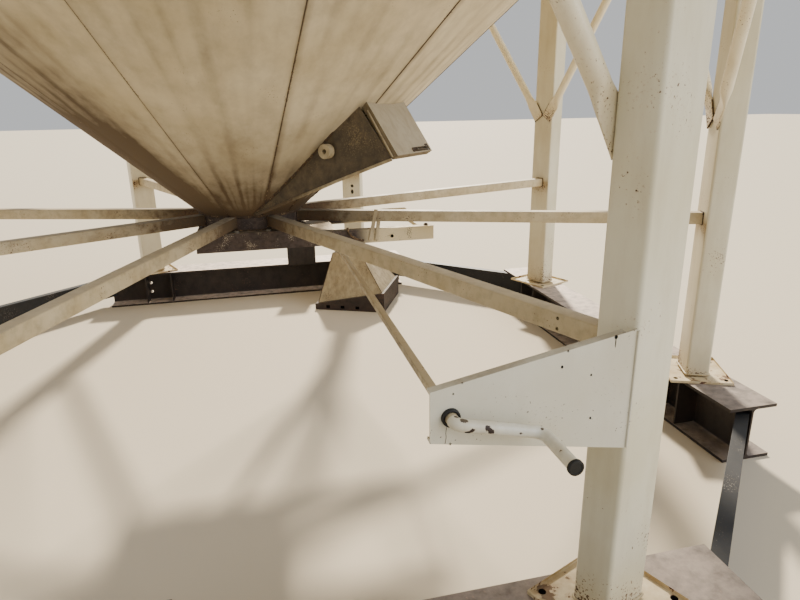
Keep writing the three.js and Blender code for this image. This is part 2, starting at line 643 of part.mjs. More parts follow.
// The funnel's body, with its walls inside the outer faces by `less`, run past both ends by `past`.
function funnel(less, past) {
  const corners = [[-1, -1], [1, -1], [1, 1], [-1, 1]];
  const low = corners.map(([i, j]) => {
    const x = i * (boot.foot / 2 - less);
    return new THREE.Vector3(x, j * (boot.deep / 2 - less), baseTop(x) + seat - past);
  });
  const half = boot.neck / 2 - less;
  const high = corners.map(([i, j]) =>
    new THREE.Vector3(boot.neckShift + i * half, j * half, boot.height + past));
  return loft([low, high]);
}

function bootFoot() {
  const t = bootBase.wall;
  const wedge = (half, deep, drop, bottom) => spread([[-half, bottom(-half)], [half, bottom(half)],
    [half, baseTop(half) - drop], [-half, baseTop(-half) - drop]], deep);
  const onGround = () => 0;
  const below = () => -weld;
  const walls = wedge(footHalf, footDeep, 0, onGround);
  const inside = wedge(footHalf - t, footDeep - t, t, below);
  const mouth = spread([[-boot.foot / 2 + t, 0], [boot.foot / 2 - t, 0],
    [boot.foot / 2 - t, 2 * bootBase.highSide], [-boot.foot / 2 + t, 2 * bootBase.highSide]],
  boot.deep / 2 - t);
  const half = bootBase.slot / 2;
  const rise = bootBase.slotHeight / 2;
  const slots = bootBase.slotsAt.map((x) => solid(block(x - half, x + half,
    -footDeep - weld, -footDeep + t + weld, bootBase.slotZ - rise, bootBase.slotZ + rise)));
  return geometryOf(walls.subtract(wasm.Manifold.union([inside, mouth, ...slots])));
}

const bootFrame = new THREE.Group();
bootFrame.position.set(boot.x, boot.y, 0);
bootFrame.rotation.z = rad(boot.turn);
put(bootFrame, "outlet_boot", geometryOf(funnel(0, 0).subtract(funnel(boot.wall, weld))), cream);
put(bootFrame, "boot_base", bootFoot(), rustySteel);
silo.add(bootFrame);

export default silo;
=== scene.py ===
# Grain silo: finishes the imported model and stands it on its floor. Metres, +Z up, crank side at -Y.
import math

import bmesh
import bpy
import numpy as np
from mathutils import Matrix, Vector


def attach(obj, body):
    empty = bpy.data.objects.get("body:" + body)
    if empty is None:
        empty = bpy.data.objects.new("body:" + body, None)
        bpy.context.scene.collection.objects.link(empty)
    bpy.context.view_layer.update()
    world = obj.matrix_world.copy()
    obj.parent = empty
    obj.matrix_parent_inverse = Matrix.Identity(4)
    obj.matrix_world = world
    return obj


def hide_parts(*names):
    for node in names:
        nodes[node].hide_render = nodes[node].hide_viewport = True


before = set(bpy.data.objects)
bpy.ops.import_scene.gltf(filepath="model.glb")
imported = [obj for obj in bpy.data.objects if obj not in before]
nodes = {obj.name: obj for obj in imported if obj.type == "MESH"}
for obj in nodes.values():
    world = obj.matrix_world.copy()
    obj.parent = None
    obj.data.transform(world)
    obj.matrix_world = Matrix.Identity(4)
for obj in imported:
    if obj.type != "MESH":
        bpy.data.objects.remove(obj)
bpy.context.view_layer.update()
print("stage: frame loaded,", len(nodes), "nodes")

# Materials


def linear(hexColour):
    # sRGB channel s to linear: s / 12.92 below 0.04045, else ((s + 0.055) / 1.055) to the power 2.4
    channels = [int(hexColour[i:i + 2], 16) / 255 for i in (1, 3, 5)]
    return [c / 12.92 if c <= 0.04045 else ((c + 0.055) / 1.055) ** 2.4 for c in channels] + [1.0]


def addNode(tree, kind, inputs, settings=None):
    # one node; an input is a number, a hex colour, a socket, or a node whose first output feeds it
    node = tree.nodes.new("ShaderNode" + kind)
    for name, value in (settings or {}).items():
        setattr(node, name, value)
    for socket, source in inputs.items():
        if isinstance(source, bpy.types.Node):
            source = source.outputs[0]
        if isinstance(source, bpy.types.NodeSocket):
            tree.links.new(source, node.inputs[socket])
        else:
            node.inputs[socket].default_value = linear(source) if isinstance(source, str) else source
    return node


def newMaterial(name):
    # a material whose node tree starts empty
    material = bpy.data.materials.new(name)
    material.use_nodes = True
    material.node_tree.nodes.clear()
    return material, material.node_tree


# What a surface is unless its own settings say otherwise. blotch, streak, chip, chipPatch, chipTone and
# grain are the sizes of real spots in metres, so a noise's scale is 1 / size. bareAbove is where chips begin.
plainLook = {
    "blotch": 0.3, "streak": 0.04, "stretch": (1, 1, 1), "dirtFrom": 0.45, "dirtAmount": 0.6,
    "chip": 0.005, "chipPatch": 0.16, "chipTone": 0.004, "chipDepth": 0.6, "stain": "#a8743f",
    "stainAmount": 0.35, "dustAndShadingTone": "#cbb893", "topDustAndShading": 0.5, "grain": 0.002, "reliefStrength": 0.25,
    "reliefDepth": 0.0006, "roughness": 0.5, "dirtRoughness": 0.85, "metallic": 0.0, "ior": 1.5,
}


def weatheredSurface(name, ownLook):
    # Colour = two base tones in broad blotches, then streaked dirt, then a stain round each chip, then
    # the chips themselves, then dust on what faces up, which on the beams and spokes is also painted
    # light on their tops and on the bracket painted shade. Dirt is also added where a piece carries its
    # grime mark, which on the hopper also holds painted shade; rust where it carries "rust".
    look = {**plainLook, **ownLook}
    added = {"operation": "ADD", "use_clamp": True}
    material, tree = newMaterial(name)
    coordinates = addNode(tree, "TexCoord", {})
    place, facing = coordinates.outputs["Object"], coordinates.outputs["Normal"]
    stretched = addNode(tree, "Mapping", {"Vector": place, "Scale": look["stretch"]})
    noises = ((place, look["blotch"], 4, 0.6), (stretched, look["streak"], 6, 0.65),
              (place, look["chip"], 5, 0.6), (place, look["chipPatch"], 1, 0.5),
              (place, look["chipTone"], 2, 0.5), (place, look["grain"], 2, 0.5))
    broad, streak, spots, patches, chipTone, peel = (
        addNode(tree, "TexNoise", {"Vector": vector, "Scale": 1 / size, "Detail": detail, "Roughness": rough})
        for vector, size, detail, rough in noises)
    broadMask = addNode(tree, "MapRange", {"Value": broad, "From Min": 0.35, "From Max": 0.65})
    base = addNode(tree, "MixRGB", {"Fac": broadMask, "Color1": look["colour"], "Color2": look["tint"]})
    streakMask = addNode(tree, "MapRange", {"Value": streak, "From Min": look["dirtFrom"], "From Max": 0.75,
                                            "To Max": look["dirtAmount"]})
    grimeAndShade = addNode(tree, "Attribute", {}, {"attribute_name": "grimeAndShade"})
    grimeAndShadeMask = addNode(tree, "Math", {0: grimeAndShade.outputs["Fac"], 1: streakMask}, added)
    if "cleanFacing" in look:  # one flat face is wiped, the sides around it keep their dirt
        toFace = addNode(tree, "VectorMath", {0: facing, 1: look["cleanFacing"]},
                         {"operation": "DOT_PRODUCT"})
        sides = addNode(tree, "MapRange", {"Value": toFace.outputs["Value"], "From Min": 0.85,
                                           "From Max": 0.6, "To Max": 0.75})
        grimeAndShadeMask = addNode(tree, "Math", {0: grimeAndShadeMask, 1: sides}, added)
    gathered = addNode(tree, "Math", {0: patches, 1: 0.5, 2: spots}, {"operation": "MULTIPLY_ADD"})
    rustHere = addNode(tree, "Attribute", {}, {"attribute_name": "rust"})
    gatheredMore = addNode(tree, "Math", {0: rustHere.outputs["Fac"], 1: 0.3, 2: gathered},
                           {"operation": "MULTIPLY_ADD"})
    bare = look["bareAbove"]
    chips = addNode(tree, "MapRange", {"Value": gatheredMore, "From Min": bare, "From Max": bare + 0.012})
    stain = addNode(tree, "MapRange", {"Value": gatheredMore, "From Min": bare - 0.09,
                                       "From Max": bare + 0.02, "To Max": look["stainAmount"]})
    chipColour = addNode(tree, "MixRGB", {"Fac": chipTone, "Color1": look["rust"],
                                          "Color2": look["rustDark"]})
    # dust on what faces up; on the beams and spokes also painted light on their tops, on the bracket painted
    # shade
    upward = addNode(tree, "SeparateXYZ", {"Vector": facing})
    level = addNode(tree, "MapRange", {"Value": upward.outputs["Z"], "From Min": 0.6, "From Max": 0.95,
                                       "To Max": look["topDustAndShading"]})
    thin = addNode(tree, "MapRange", {"Value": streak, "From Min": 0.3, "From Max": 0.6, "To Min": 0.35})
    topDustAndShading = addNode(tree, "Math", {0: level, 1: thin}, {"operation": "MULTIPLY"})
    if "litTopsAlongY" in look:  # painted light: the far side's tops are pale as if in sun, fading towards the crank side, whose tops lie in painted shade
        start, end = look["litTopsAlongY"]
        far = addNode(tree, "SeparateXYZ", {"Vector": place})
        reach = addNode(tree, "MapRange", {"Value": far.outputs["Y"], "From Min": start, "From Max": end,
                                           "To Min": 0.35})
        topDustAndShading = addNode(tree, "Math", {0: topDustAndShading, 1: reach}, {"operation": "MULTIPLY"})
    layers = [(grimeAndShadeMask, look["dirtAndShade"]), (stain, look["stain"]), (chips, chipColour), (topDustAndShading, look["dustAndShadingTone"])]
    if "cleanFrom" in look:  # the end that sticks out from under the tank stays clean
        along = addNode(tree, "SeparateXYZ", {"Vector": place})
        clean = addNode(tree, "MapRange", {"Value": along, "From Min": look["cleanFrom"],
                                           "From Max": look["cleanFrom"] + 0.12},
                        {"interpolation_type": "SMOOTHSTEP"})
        pale = addNode(tree, "MixRGB", {"Fac": chips, "Color1": look["clean"], "Color2": look["dirtAndShade"]})
        layers.append((clean, pale))
    colour = base
    for mask, tone in layers:
        colour = addNode(tree, "MixRGB", {"Fac": mask, "Color1": colour, "Color2": tone})
    relief = addNode(tree, "Math", {0: chips, 1: -look["chipDepth"], 2: peel}, {"operation": "MULTIPLY_ADD"})
    bump = addNode(tree, "Bump", {"Height": relief, "Strength": look["reliefStrength"],
                                  "Distance": look["reliefDepth"]})
    worn = addNode(tree, "Math", {0: grimeAndShadeMask, 1: chips}, {"operation": "MAXIMUM"})
    roughness = addNode(tree, "MapRange", {"Value": worn, "To Min": look["roughness"],
                                           "To Max": look["dirtRoughness"]})
    shader = addNode(tree, "BsdfPrincipled", {"Base Color": colour, "Roughness": roughness, "Normal": bump,
                                              "Metallic": look["metallic"], "IOR": look["ior"]})
    addNode(tree, "OutputMaterial", {"Surface": shader})
    return material


# alkyd enamel sprayed on rolled steel: soft gloss, faint orange peel, chips down to brown rust
creamEnamel = weatheredSurface("creamEnamel", {
    "colour": "#dedac5", "tint": "#d2cbae", "blotch": 0.4, "streak": 0.06, "stretch": (1, 1, 0.2),
    "dirtAndShade": "#9c8967", "dirtAmount": 0.22, "chip": 0.007, "bareAbove": 0.992, "rust": "#5e3a25",
    "rustDark": "#2c1e16", "dustAndShadingTone": "#e6dcc4", "grain": 0.003, "roughness": 0.33, "dirtRoughness": 0.7,
})
# the same enamel on pipe, wiped by rain: glossier and lighter
pipeEnamel = weatheredSurface("pipeEnamel", {
    "colour": "#efe8d0", "tint": "#e2d8ba", "streak": 0.05, "stretch": (1, 1, 0.2), "dirtAndShade": "#a08a60",
    "dirtAmount": 0.2, "chip": 0.007, "bareAbove": 0.985, "rust": "#5e3a25", "rustDark": "#2c1e16",
    "dustAndShadingTone": "#f0e8d4", "grain": 0.003, "roughness": 0.25, "dirtRoughness": 0.6,
})
# the same enamel on the crank, knocked by hands and tools: few chips, but wide ones
chippedEnamel = weatheredSurface("chippedEnamel", {
    "colour": "#dad6c6", "tint": "#cdc3a8", "blotch": 0.2, "stretch": (1, 1, 0.2), "dirtAndShade": "#87765a",
    "dirtAmount": 0.25, "chip": 0.012, "chipPatch": 0.05, "bareAbove": 1.02, "rust": "#38241a",
    "rustDark": "#1c1410", "stainAmount": 0.15, "topDustAndShading": 0.15, "grain": 0.0025, "roughness": 0.3,
    "dirtRoughness": 0.65,
})
# the same enamel on the bracket, out of the rain: smooth, pale and almost whole, dark dust on its upper edge
# that is partly painted shade on the top fold
bracketEnamel = weatheredSurface("bracketEnamel", {
    "colour": "#dbd8c8", "tint": "#d3cdb8", "streak": 0.08, "stretch": (1, 1, 0.2), "dirtAndShade": "#a3957a",
    "dirtAmount": 0.16, "chip": 0.006, "bareAbove": 0.968, "rust": "#4f3829", "rustDark": "#2b2019",
    "stainAmount": 0.12, "dustAndShadingTone": "#8c7f68", "topDustAndShading": 0.75, "grain": 0.003, "roughness": 0.36,
    "dirtRoughness": 0.6,
})
# enamel on the base plates, lifted by rust from below: broad scabs of brown with cream between them
scabbedEnamel = weatheredSurface("scabbedEnamel", {
    "colour": "#dacdaa", "tint": "#bda67a", "blotch": 0.09, "dirtAndShade": "#8a6b46", "dirtAmount": 0.35,
    "chip": 0.034, "chipPatch": 0.1, "chipDepth": 1.2, "bareAbove": 0.885, "rust": "#6d4830",
    "rustDark": "#3a281e", "stain": "#a06a3c", "stainAmount": 0.4, "topDustAndShading": 0.25, "reliefStrength": 0.5,
})
# enamel over sheet steel that dust has stuck to: matt tan, its warm darker tone partly painted shade of the
# cone's underside, run marks down the slope
dustyShadedEnamel = weatheredSurface("dustyShadedEnamel", {
    "colour": "#d3c7aa", "tint": "#bfb190", "streak": 0.1, "stretch": (1, 1, 0.3), "dirtAndShade": "#54442f",
    "dirtFrom": 0.42, "dirtAmount": 0.3, "bareAbove": 1.03, "rust": "#4c3826", "rustDark": "#241a13",
    "stainAmount": 0.1, "grain": 0.004,
})
# the same enamel on the chute's lid: greyer, one face wiped clean, dirt on the skirts
lidEnamel = weatheredSurface("lidEnamel", {
    "colour": "#a49a83", "tint": "#9b8f76", "blotch": 0.2, "streak": 0.03, "stretch": (1, 1, 0.4),
    "dirtAndShade": "#5f5036", "dirtAmount": 0.3, "chip": 0.004, "bareAbove": 0.98, "rust": "#5b4733",
    "rustDark": "#33271c", "dirtRoughness": 0.8, "cleanFacing": (0.6175, -0.556, 0.5563),
})
# enamel on tube at ankle height: khaki with dust, pin-head rust dots; the pale dust on top is partly painted
# light on the tubes' tops
speckledEnamel = weatheredSurface("speckledEnamel", {
    "colour": "#cbbd9c", "tint": "#b8a680", "blotch": 0.16, "streak": 0.035, "dirtAndShade": "#4f402c",
    "dirtAmount": 0.34, "chip": 0.006, "chipPatch": 0.12, "bareAbove": 0.96, "rust": "#4f3320",
    "rustDark": "#261b14", "stainAmount": 0.2, "dustAndShadingTone": "#b3a78f", "topDustAndShading": 0.6, "grain": 0.003,
    "roughness": 0.45,
})
# the same enamel kicked about on the ground: thin dirt all over
scuffedEnamel = weatheredSurface("scuffedEnamel", {
    "colour": "#b3a484", "tint": "#9b8b6a", "blotch": 0.12, "streak": 0.03, "stretch": (1, 1, 0.5),
    "dirtAndShade": "#574936", "dirtFrom": 0.4, "chip": 0.006, "chipPatch": 0.09, "bareAbove": 0.93,
    "rust": "#4f3623", "rustDark": "#261b14", "stainAmount": 0.15,
})
# enamel under caked grain dust: dark purplish brown, dull, finely speckled, clean at its far end
cakedEnamel = weatheredSurface("cakedEnamel", {
    "colour": "#493a31", "tint": "#352a24", "blotch": 0.06, "streak": 0.018, "dirtAndShade": "#1d1612",
    "dirtAmount": 0.75, "chipPatch": 0.05, "bareAbove": 0.9, "rust": "#b3a68f", "rustDark": "#6e604e",
    "stain": "#6b5644", "stainAmount": 0.1, "topDustAndShading": 0.3, "reliefStrength": 0.5, "roughness": 0.62,
    "dirtRoughness": 0.92, "cleanFrom": 0.46, "clean": "#cdbd97",
})
# enamel rubbed with oily dust: smooth dark brown that thins to khaki
oiledEnamel = weatheredSurface("oiledEnamel", {
    "colour": "#5f4f35", "tint": "#42361f", "blotch": 0.2, "streak": 0.03, "dirtAndShade": "#281e14",
    "dirtFrom": 0.38, "dirtAmount": 0.9, "bareAbove": 0.93, "rust": "#7c6b48", "rustDark": "#5d4f35",
    "stain": "#7d6b48", "stainAmount": 0.3, "grain": 0.003, "roughness": 0.42, "dirtRoughness": 0.62,
})
# hot rolled beam steel left bare: brown-black mill scale, darkened further as painted shade, turning to
# pink-brown rust; its pale top dust is partly painted sunlight on the flanges
rustedBeamSteel = weatheredSurface("rustedBeamSteel", {
    "colour": "#26201c", "tint": "#362b25", "blotch": 0.14, "streak": 0.05, "stretch": (1, 1, 0.6),
    "dirtAndShade": "#15110f", "chip": 0.012, "chipDepth": -0.5, "bareAbove": 0.975, "rust": "#7d6050",
    "rustDark": "#584036", "stain": "#5a4034", "stainAmount": 0.25, "dustAndShadingTone": "#dccabb", "topDustAndShading": 0.95,
    "grain": 0.0015, "reliefStrength": 0.6, "roughness": 0.6, "metallic": 0.2, "litTopsAlongY": (-1.4, 0.9),
})
# the same rust on thin sheet under the boot, as a copy darkened with painted shade: dark brown, no dust or
# painted light on top
rustedSheet = weatheredSurface("rustedSheet", {
    "colour": "#2b211b", "tint": "#3a2a20", "blotch": 0.09, "dirtAndShade": "#171210", "chip": 0.012,
    "chipDepth": -0.5, "bareAbove": 0.975, "rust": "#6b4a36", "rustDark": "#4a3325", "stain": "#54382a",
    "stainAmount": 0.3, "topDustAndShading": 0.1, "grain": 0.0015, "reliefStrength": 0.6, "roughness": 0.65,
    "dirtRoughness": 0.9,
})
# hot dipped zinc on rolled channel: blue-grey darkened to near black as painted shade, dull, cloudy, with
# white bloom
dullZinc = weatheredSurface("dullZinc", {
    "colour": "#1c1e23", "tint": "#15171a", "blotch": 0.05, "streak": 0.02, "dirtAndShade": "#1d1c1b",
    "dirtAmount": 0.45, "bareAbove": 0.95, "rust": "#7d7a72", "rustDark": "#7e7c77", "stainAmount": 0.1,
    "dustAndShadingTone": "#5f5b55", "topDustAndShading": 0.1, "roughness": 0.55, "dirtRoughness": 0.75, "metallic": 0.2,
})
# hot rolled plate polished by grain and scraped by its rails
scrapedPlate = weatheredSurface("scrapedPlate", {
    "colour": "#7b6b5c", "tint": "#5f5147", "blotch": 0.1, "streak": 0.01, "stretch": (0.08, 1, 1),
    "dirtAndShade": "#40352d", "chip": 0.006, "bareAbove": 0.9, "rust": "#6a4a35", "rustDark": "#3f2d22",
    "grain": 0.0015, "roughness": 0.45, "dirtRoughness": 0.8, "metallic": 0.7,
})
# moulded rubber: near black, matt, grey dust in its pores
mouldedRubber = weatheredSurface("mouldedRubber", {
    "colour": "#050505", "tint": "#080808", "blotch": 0.02, "streak": 0.006, "dirtAndShade": "#38342e",
    "dirtAmount": 0.06, "chip": 0.003, "bareAbove": 1.3, "rust": "#2a2826", "rustDark": "#1a1918",
    "stainAmount": 0.0, "topDustAndShading": 0.0, "grain": 0.0012, "roughness": 0.62, "dirtRoughness": 0.7,
})
# painted shade: the dark inside of a hole, drawn as a flat spot, no shine at all
darkHole = weatheredSurface("darkHole", {
    "colour": "#070605", "tint": "#0b0908", "blotch": 0.02, "streak": 0.005, "stretch": (1, 1, 0.2),
    "dirtAndShade": "#14110d", "dirtAmount": 0.1, "chip": 0.003, "bareAbove": 1.3, "rust": "#14110d",
    "rustDark": "#0b0908", "stainAmount": 0.0, "topDustAndShading": 0.0, "roughness": 1.0, "dirtRoughness": 1.0,
    "ior": 1.0,
})
# arc weld that rusted through its paint: rough brown bead with cream left on it
rustyBead = weatheredSurface("rustyBead", {
    "colour": "#4d3a27", "tint": "#32261b", "blotch": 0.02, "streak": 0.006, "dirtAndShade": "#1a140f",
    "dirtAmount": 0.5, "chipPatch": 0.03, "bareAbove": 0.88, "rust": "#a5906a", "rustDark": "#84694a",
    "stainAmount": 0.2, "topDustAndShading": 0.1, "grain": 0.001, "reliefStrength": 0.6, "roughness": 0.75,
    "dirtRoughness": 0.92,
})
# arc weld under sound paint, dust held in its ripples
paintedBead = weatheredSurface("paintedBead", {
    "colour": "#c9bb9b", "tint": "#b7a67f", "blotch": 0.03, "streak": 0.008, "dirtAndShade": "#8a7650",
    "chip": 0.004, "chipPatch": 0.03, "bareAbove": 0.95, "rust": "#5b3c26", "rustDark": "#33241a",
    "grain": 0.001, "roughness": 0.45,
})
# zinc plated bolts: grey, slightly bright, dusty
platedBolt = weatheredSurface("platedBolt", {
    "colour": "#8f8c84", "tint": "#7b766c", "blotch": 0.01, "streak": 0.005, "dirtAndShade": "#5b4d3c",
    "dirtAmount": 0.5, "chip": 0.003, "chipPatch": 0.02, "bareAbove": 0.92, "rust": "#6b4529",
    "rustDark": "#3c2a1e", "grain": 0.001, "roughness": 0.4, "dirtRoughness": 0.75, "metallic": 0.8,
})
print("stage: materials")

# Surfaces: every new piece is made of grids of points, rows along it and columns round it

merge = {"new": 3e-6, "dressed": 1e-5, "flat": 0.5}  # metres, and degrees between faces joined up again


def gridQuads(rows, columns, closed):
    # quad (i, j) joins row i to the next one and column j to the next one, round to the first
    i = np.arange(rows if closed else rows - 1)[:, None]
    j = np.arange(columns)
    row, nextRow, nextColumn = i * columns, (i + 1) % rows * columns, (j + 1) % columns
    corners = [row + j, nextRow + j, nextRow + nextColumn, row + nextColumn]
    return np.stack(np.broadcast_arrays(*corners), axis=-1).reshape(-1, 4)


def finishPiece(name, mesh, material, body, replaces, sharp, bevel):
    # closes seams and poles, turns the faces out, and hands the piece to its body
    work = bmesh.new()
    work.from_mesh(mesh)
    bmesh.ops.remove_doubles(work, verts=work.verts, dist=merge["new"])
    bmesh.ops.recalc_face_normals(work, faces=work.faces)
    work.to_mesh(mesh)
    work.free()
    mesh.materials.clear()
    mesh.materials.append(material)
    mesh.shade_smooth()
    mesh.set_sharp_from_angle(angle=math.radians(sharp))
    piece = bpy.data.objects.new(name, mesh)
    bpy.context.scene.collection.objects.link(piece)
    if bevel:
        edge = piece.modifiers.new("softEdge", "BEVEL")
        edge.width = bevel
        edge.segments = 2
        edge.limit_method = "ANGLE"
        edge.angle_limit = math.radians(35)
        edge.harden_normals = True
    if replaces:
        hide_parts(replaces)
    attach(piece, body)


def makePiece(name, grids, material, body="silo", replaces=None, sharp=35, marks=None):
    # grids come with whether their last row joins the first; marks are arrays of one number a point
    points, quads, start = [], [], 0
    for grid, closed in grids:
        rows, columns = grid.shape[:2]
        quads.append(gridQuads(rows, columns, closed) + start)
        points.append(grid.reshape(-1, 3))
        start += rows * columns
    mesh = bpy.data.meshes.new(name)
    mesh.from_pydata(np.concatenate(points), [], np.concatenate(quads))
    for mark, values in (marks or {}).items():
        layer = mesh.attributes.new(mark, "FLOAT", "POINT")
        layer.data.foreach_set("value", np.concatenate([np.ravel(v) for v in values]).astype(np.float32))
    finishPiece(name, mesh, material, body, replaces, sharp, 0)


def dressNode(node, name, material, body="silo", bevel=0.001):
    # a merged copy of a node, flat faces joined up again, with its edges softened
    mesh = nodes[node].data.copy()
    mesh.name = name
    work = bmesh.new()
    work.from_mesh(mesh)
    bmesh.ops.remove_doubles(work, verts=work.verts, dist=merge["dressed"])
    flat = math.radians(merge["flat"])
    bmesh.ops.dissolve_limit(work, angle_limit=flat, verts=work.verts, edges=work.edges)
    work.to_mesh(mesh)
    work.free()
    finishPiece(name, mesh, material, body, node, 30, bevel)


def placed(grid, turn=0.0, shift=(0, 0, 0)):
    # turned by degrees about Z, then shifted
    c, s = math.cos(math.radians(turn)), math.sin(math.radians(turn))
    return np.asarray(grid) @ np.array([[c, s, 0], [-s, c, 0], [0, 0, 1]]) + np.asarray(shift)


def turned(grids, turn, shift=(0, 0, 0)):
    # the same for a piece's grids
    return [(placed(grid, turn, shift), closed) for grid, closed in grids]


def capped(grid):
    # both ends drawn together on the middle of their rows
    ends = [np.repeat(grid[k:k + 1].mean(axis=1, keepdims=True), grid.shape[1], axis=1) for k in (0, -1)]
    return np.concatenate([ends[0], grid, ends[1]])


def around(r, turn, z):
    # point = (r cos a, r sin a, z), from numbers and arrays alike
    return np.stack(np.broadcast_arrays(r * np.cos(turn), r * np.sin(turn), z), axis=-1)


def roundOutline(radius, sides):
    # (r cos a, r sin a) at even angles
    return around(radius, np.arange(sides) * 2 * np.pi / sides, 0)[:, :2]


def cornerOutline(width, height, corner, steps=6):
    # a rectangle whose corners are quarter circles of `steps` pieces
    turn = np.linspace(0, np.pi / 2, steps + 1)
    arcs = []
    for k, (sx, sy) in enumerate([(1, 1), (-1, 1), (-1, -1), (1, -1)]):
        a = turn + k * np.pi / 2
        arcs.append(np.stack([sx * (width / 2 - corner) + corner * np.cos(a),
                              sy * (height / 2 - corner) + corner * np.sin(a)], axis=-1))
    return np.concatenate(arcs)


def atHeight(outline, z):
    # a flat outline lifted to z
    return np.concatenate([outline, np.full((len(outline), 1), z)], axis=1)


def sweep(path, outline, up=(0, 0, 1), closed=False, scale=None):
    # point = path + side * u + lift * v, with side = tangent x up and lift = side x tangent
    path = np.asarray(path, float)
    tangent = np.roll(path, -1, 0) - np.roll(path, 1, 0) if closed else np.gradient(path, axis=0)
    tangent = tangent / np.linalg.norm(tangent, axis=1, keepdims=True)
    side = np.cross(tangent, np.asarray(up, float))
    side = side / np.linalg.norm(side, axis=1, keepdims=True)
    lift = np.cross(side, tangent)
    outline = np.broadcast_to(outline, (len(path),) + outline.shape[-2:])
    if scale is not None:
        outline = outline * scale[:, None, None]
    return path[:, None] + side[:, None] * outline[..., :1] + lift[:, None] * outline[..., 1:]


def revolve(outline, columns=96):
    # (r, z) points carried round Z
    r, z = np.asarray(outline, float).T[..., None]
    return around(r, np.arange(columns) * 2 * np.pi / columns, z)


def alongY(grid, x, z):
    # stands a revolved grid on its side: its own z runs along +Y
    return np.stack([grid[..., 0] + x, grid[..., 2], grid[..., 1] + z], axis=-1)


def evenly(points, step, closed=False):
    # points spaced `step` apart along a chain of straight runs
    points = np.asarray(points, float)
    if closed:
        points = np.concatenate([points, points[:1]])
    far = np.concatenate([[0], np.cumsum(np.linalg.norm(np.diff(points, axis=0), axis=1))])
    count = max(int(round(far[-1] / step)), 4)
    at = np.linspace(0, far[-1], count + 1)
    if closed:
        at = at[:-1]
    return np.stack([np.interp(at, far, points[:, k]) for k in range(3)], axis=-1)


def bar(points, step, outline, up=(0, 0, 1), turn=0.0):
    # an outline swept along a chain of straight runs, closed at both ends
    return placed(capped(sweep(evenly(points, step), outline, up)), turn), False


def weldBead(points, radius, seed, up=(0, 0, 1), closed=False, step=0.0025, sides=7, ripple=0.0055):
    # round bead: radius = r * (1 + 0.14 sin(2 pi s / ripple) + up to 12 % of noise), s the way along it
    path = evenly(points, step, closed)
    s = np.arange(len(path)) * step
    rough = np.random.default_rng(seed).uniform(-0.12, 0.12, len(path))
    scale = radius * (1 + 0.14 * np.sin(2 * np.pi * s / ripple) + rough)
    grid = sweep(path, roundOutline(1.0, sides), up, closed, scale)
    return (grid, True) if closed else (capped(grid), False)


def slab(width, depth, low, high, corner=0.003, soft=0.0012):
    # an upright block, its level edges cut back by `soft`, closed on top and below
    levels = ((low, soft), (low + soft, 0), (high - soft, 0), (high, soft))
    return capped(np.stack([atHeight(cornerOutline(width - 2 * less, depth - 2 * less, corner), z)
                            for z, less in levels]))


def hexHeads(places, axis, across=0.019, high=0.008):
    # bolt heads on washers: six sided prisms turned to stand along `axis` at each place
    axis = np.asarray(axis, float) / np.linalg.norm(axis)
    side = np.cross(axis, [0.31, 0.52, 0.79])
    side /= np.linalg.norm(side)
    frameRows = np.stack([side, np.cross(axis, side), axis])
    washer = capped(revolve([[across * 0.72, 0], [across * 0.72, 0.0018], [across * 0.69, 0.0022]], 18))
    head = capped(revolve([[across * 0.577, 0.002], [across * 0.577, high - 0.0012],
                           [across * 0.5, high]], 6))
    return [(shape @ frameRows + np.asarray(p), False) for p in places for shape in (washer, head)]


def flatSpot(wide, high, face, centre, turn=0.0, sides=20):
    # an oval 0.3 mm proud of its face: (across, up, out) laid on the two axes and the normal of `face`
    disc = capped(revolve([[1, 0], [1, 0.0003]], sides)) * (wide, high, 1)
    return placed(disc @ np.array(face, float) + np.asarray(centre), turn), False


flatUp, faceIn, faceFront = np.eye(3), [(0, 1, 0), (0, 0, 1), (-1, 0, 0)], [(1, 0, 0), (0, 0, 1), (0, -1, 0)]

# Sizes the pieces share with the solids, metres
silo = {
    "ringRadius": 2.134, "legDepth": 0.1016, "legWidth": 0.1524, "legTop": 2.56, "plateTop": 0.262,
    "wallLow": 2.5726, "wallTop": 7.4496, "shaft": (0.362, 0.879),
}
legAngles = -67.5 + 45 * np.arange(8)
ringRadius, plateTop = silo["ringRadius"], silo["plateTop"]
legInside = ringRadius - silo["legDepth"] / 2

# Legs and base plates

leg = {
    "corner": 0.011, "weld": 0.0045, "weldOut": 0.0015, "splash": 0.35, "plate": (0.270, 0.305, 0.2503),
    "drip": 0.955, "dripReach": (0.02, 0.06),  # height of the spoke's weld, and the stain above and below it
    "plateHole": 0.010, "plateHolesAt": (0.108, 0.125),
    "holes": [(0.012, 0.012, 0.853), (0.011, 0.019, 0.806)], "holesAcross": -0.0075,
}


def legGrids():
    # tube: a rounded rectangle carried up, its rows closer together where the marks change
    z = np.concatenate([plateTop + np.array([0, 0.01, 0.03, 0.07, 0.13, 0.22, 0.35, 0.5]),
                        np.arange(0.82, 1.08, 0.02), np.linspace(1.1, silo["legTop"], 8)])
    outline = cornerOutline(silo["legDepth"], silo["legWidth"], leg["corner"])
    tube = capped(np.stack([atHeight(outline, height) for height in z]))
    wide, deep, low = leg["plate"]
    return tube + (ringRadius, 0, 0), slab(wide, deep, low, plateTop) + (ringRadius, 0, 0)


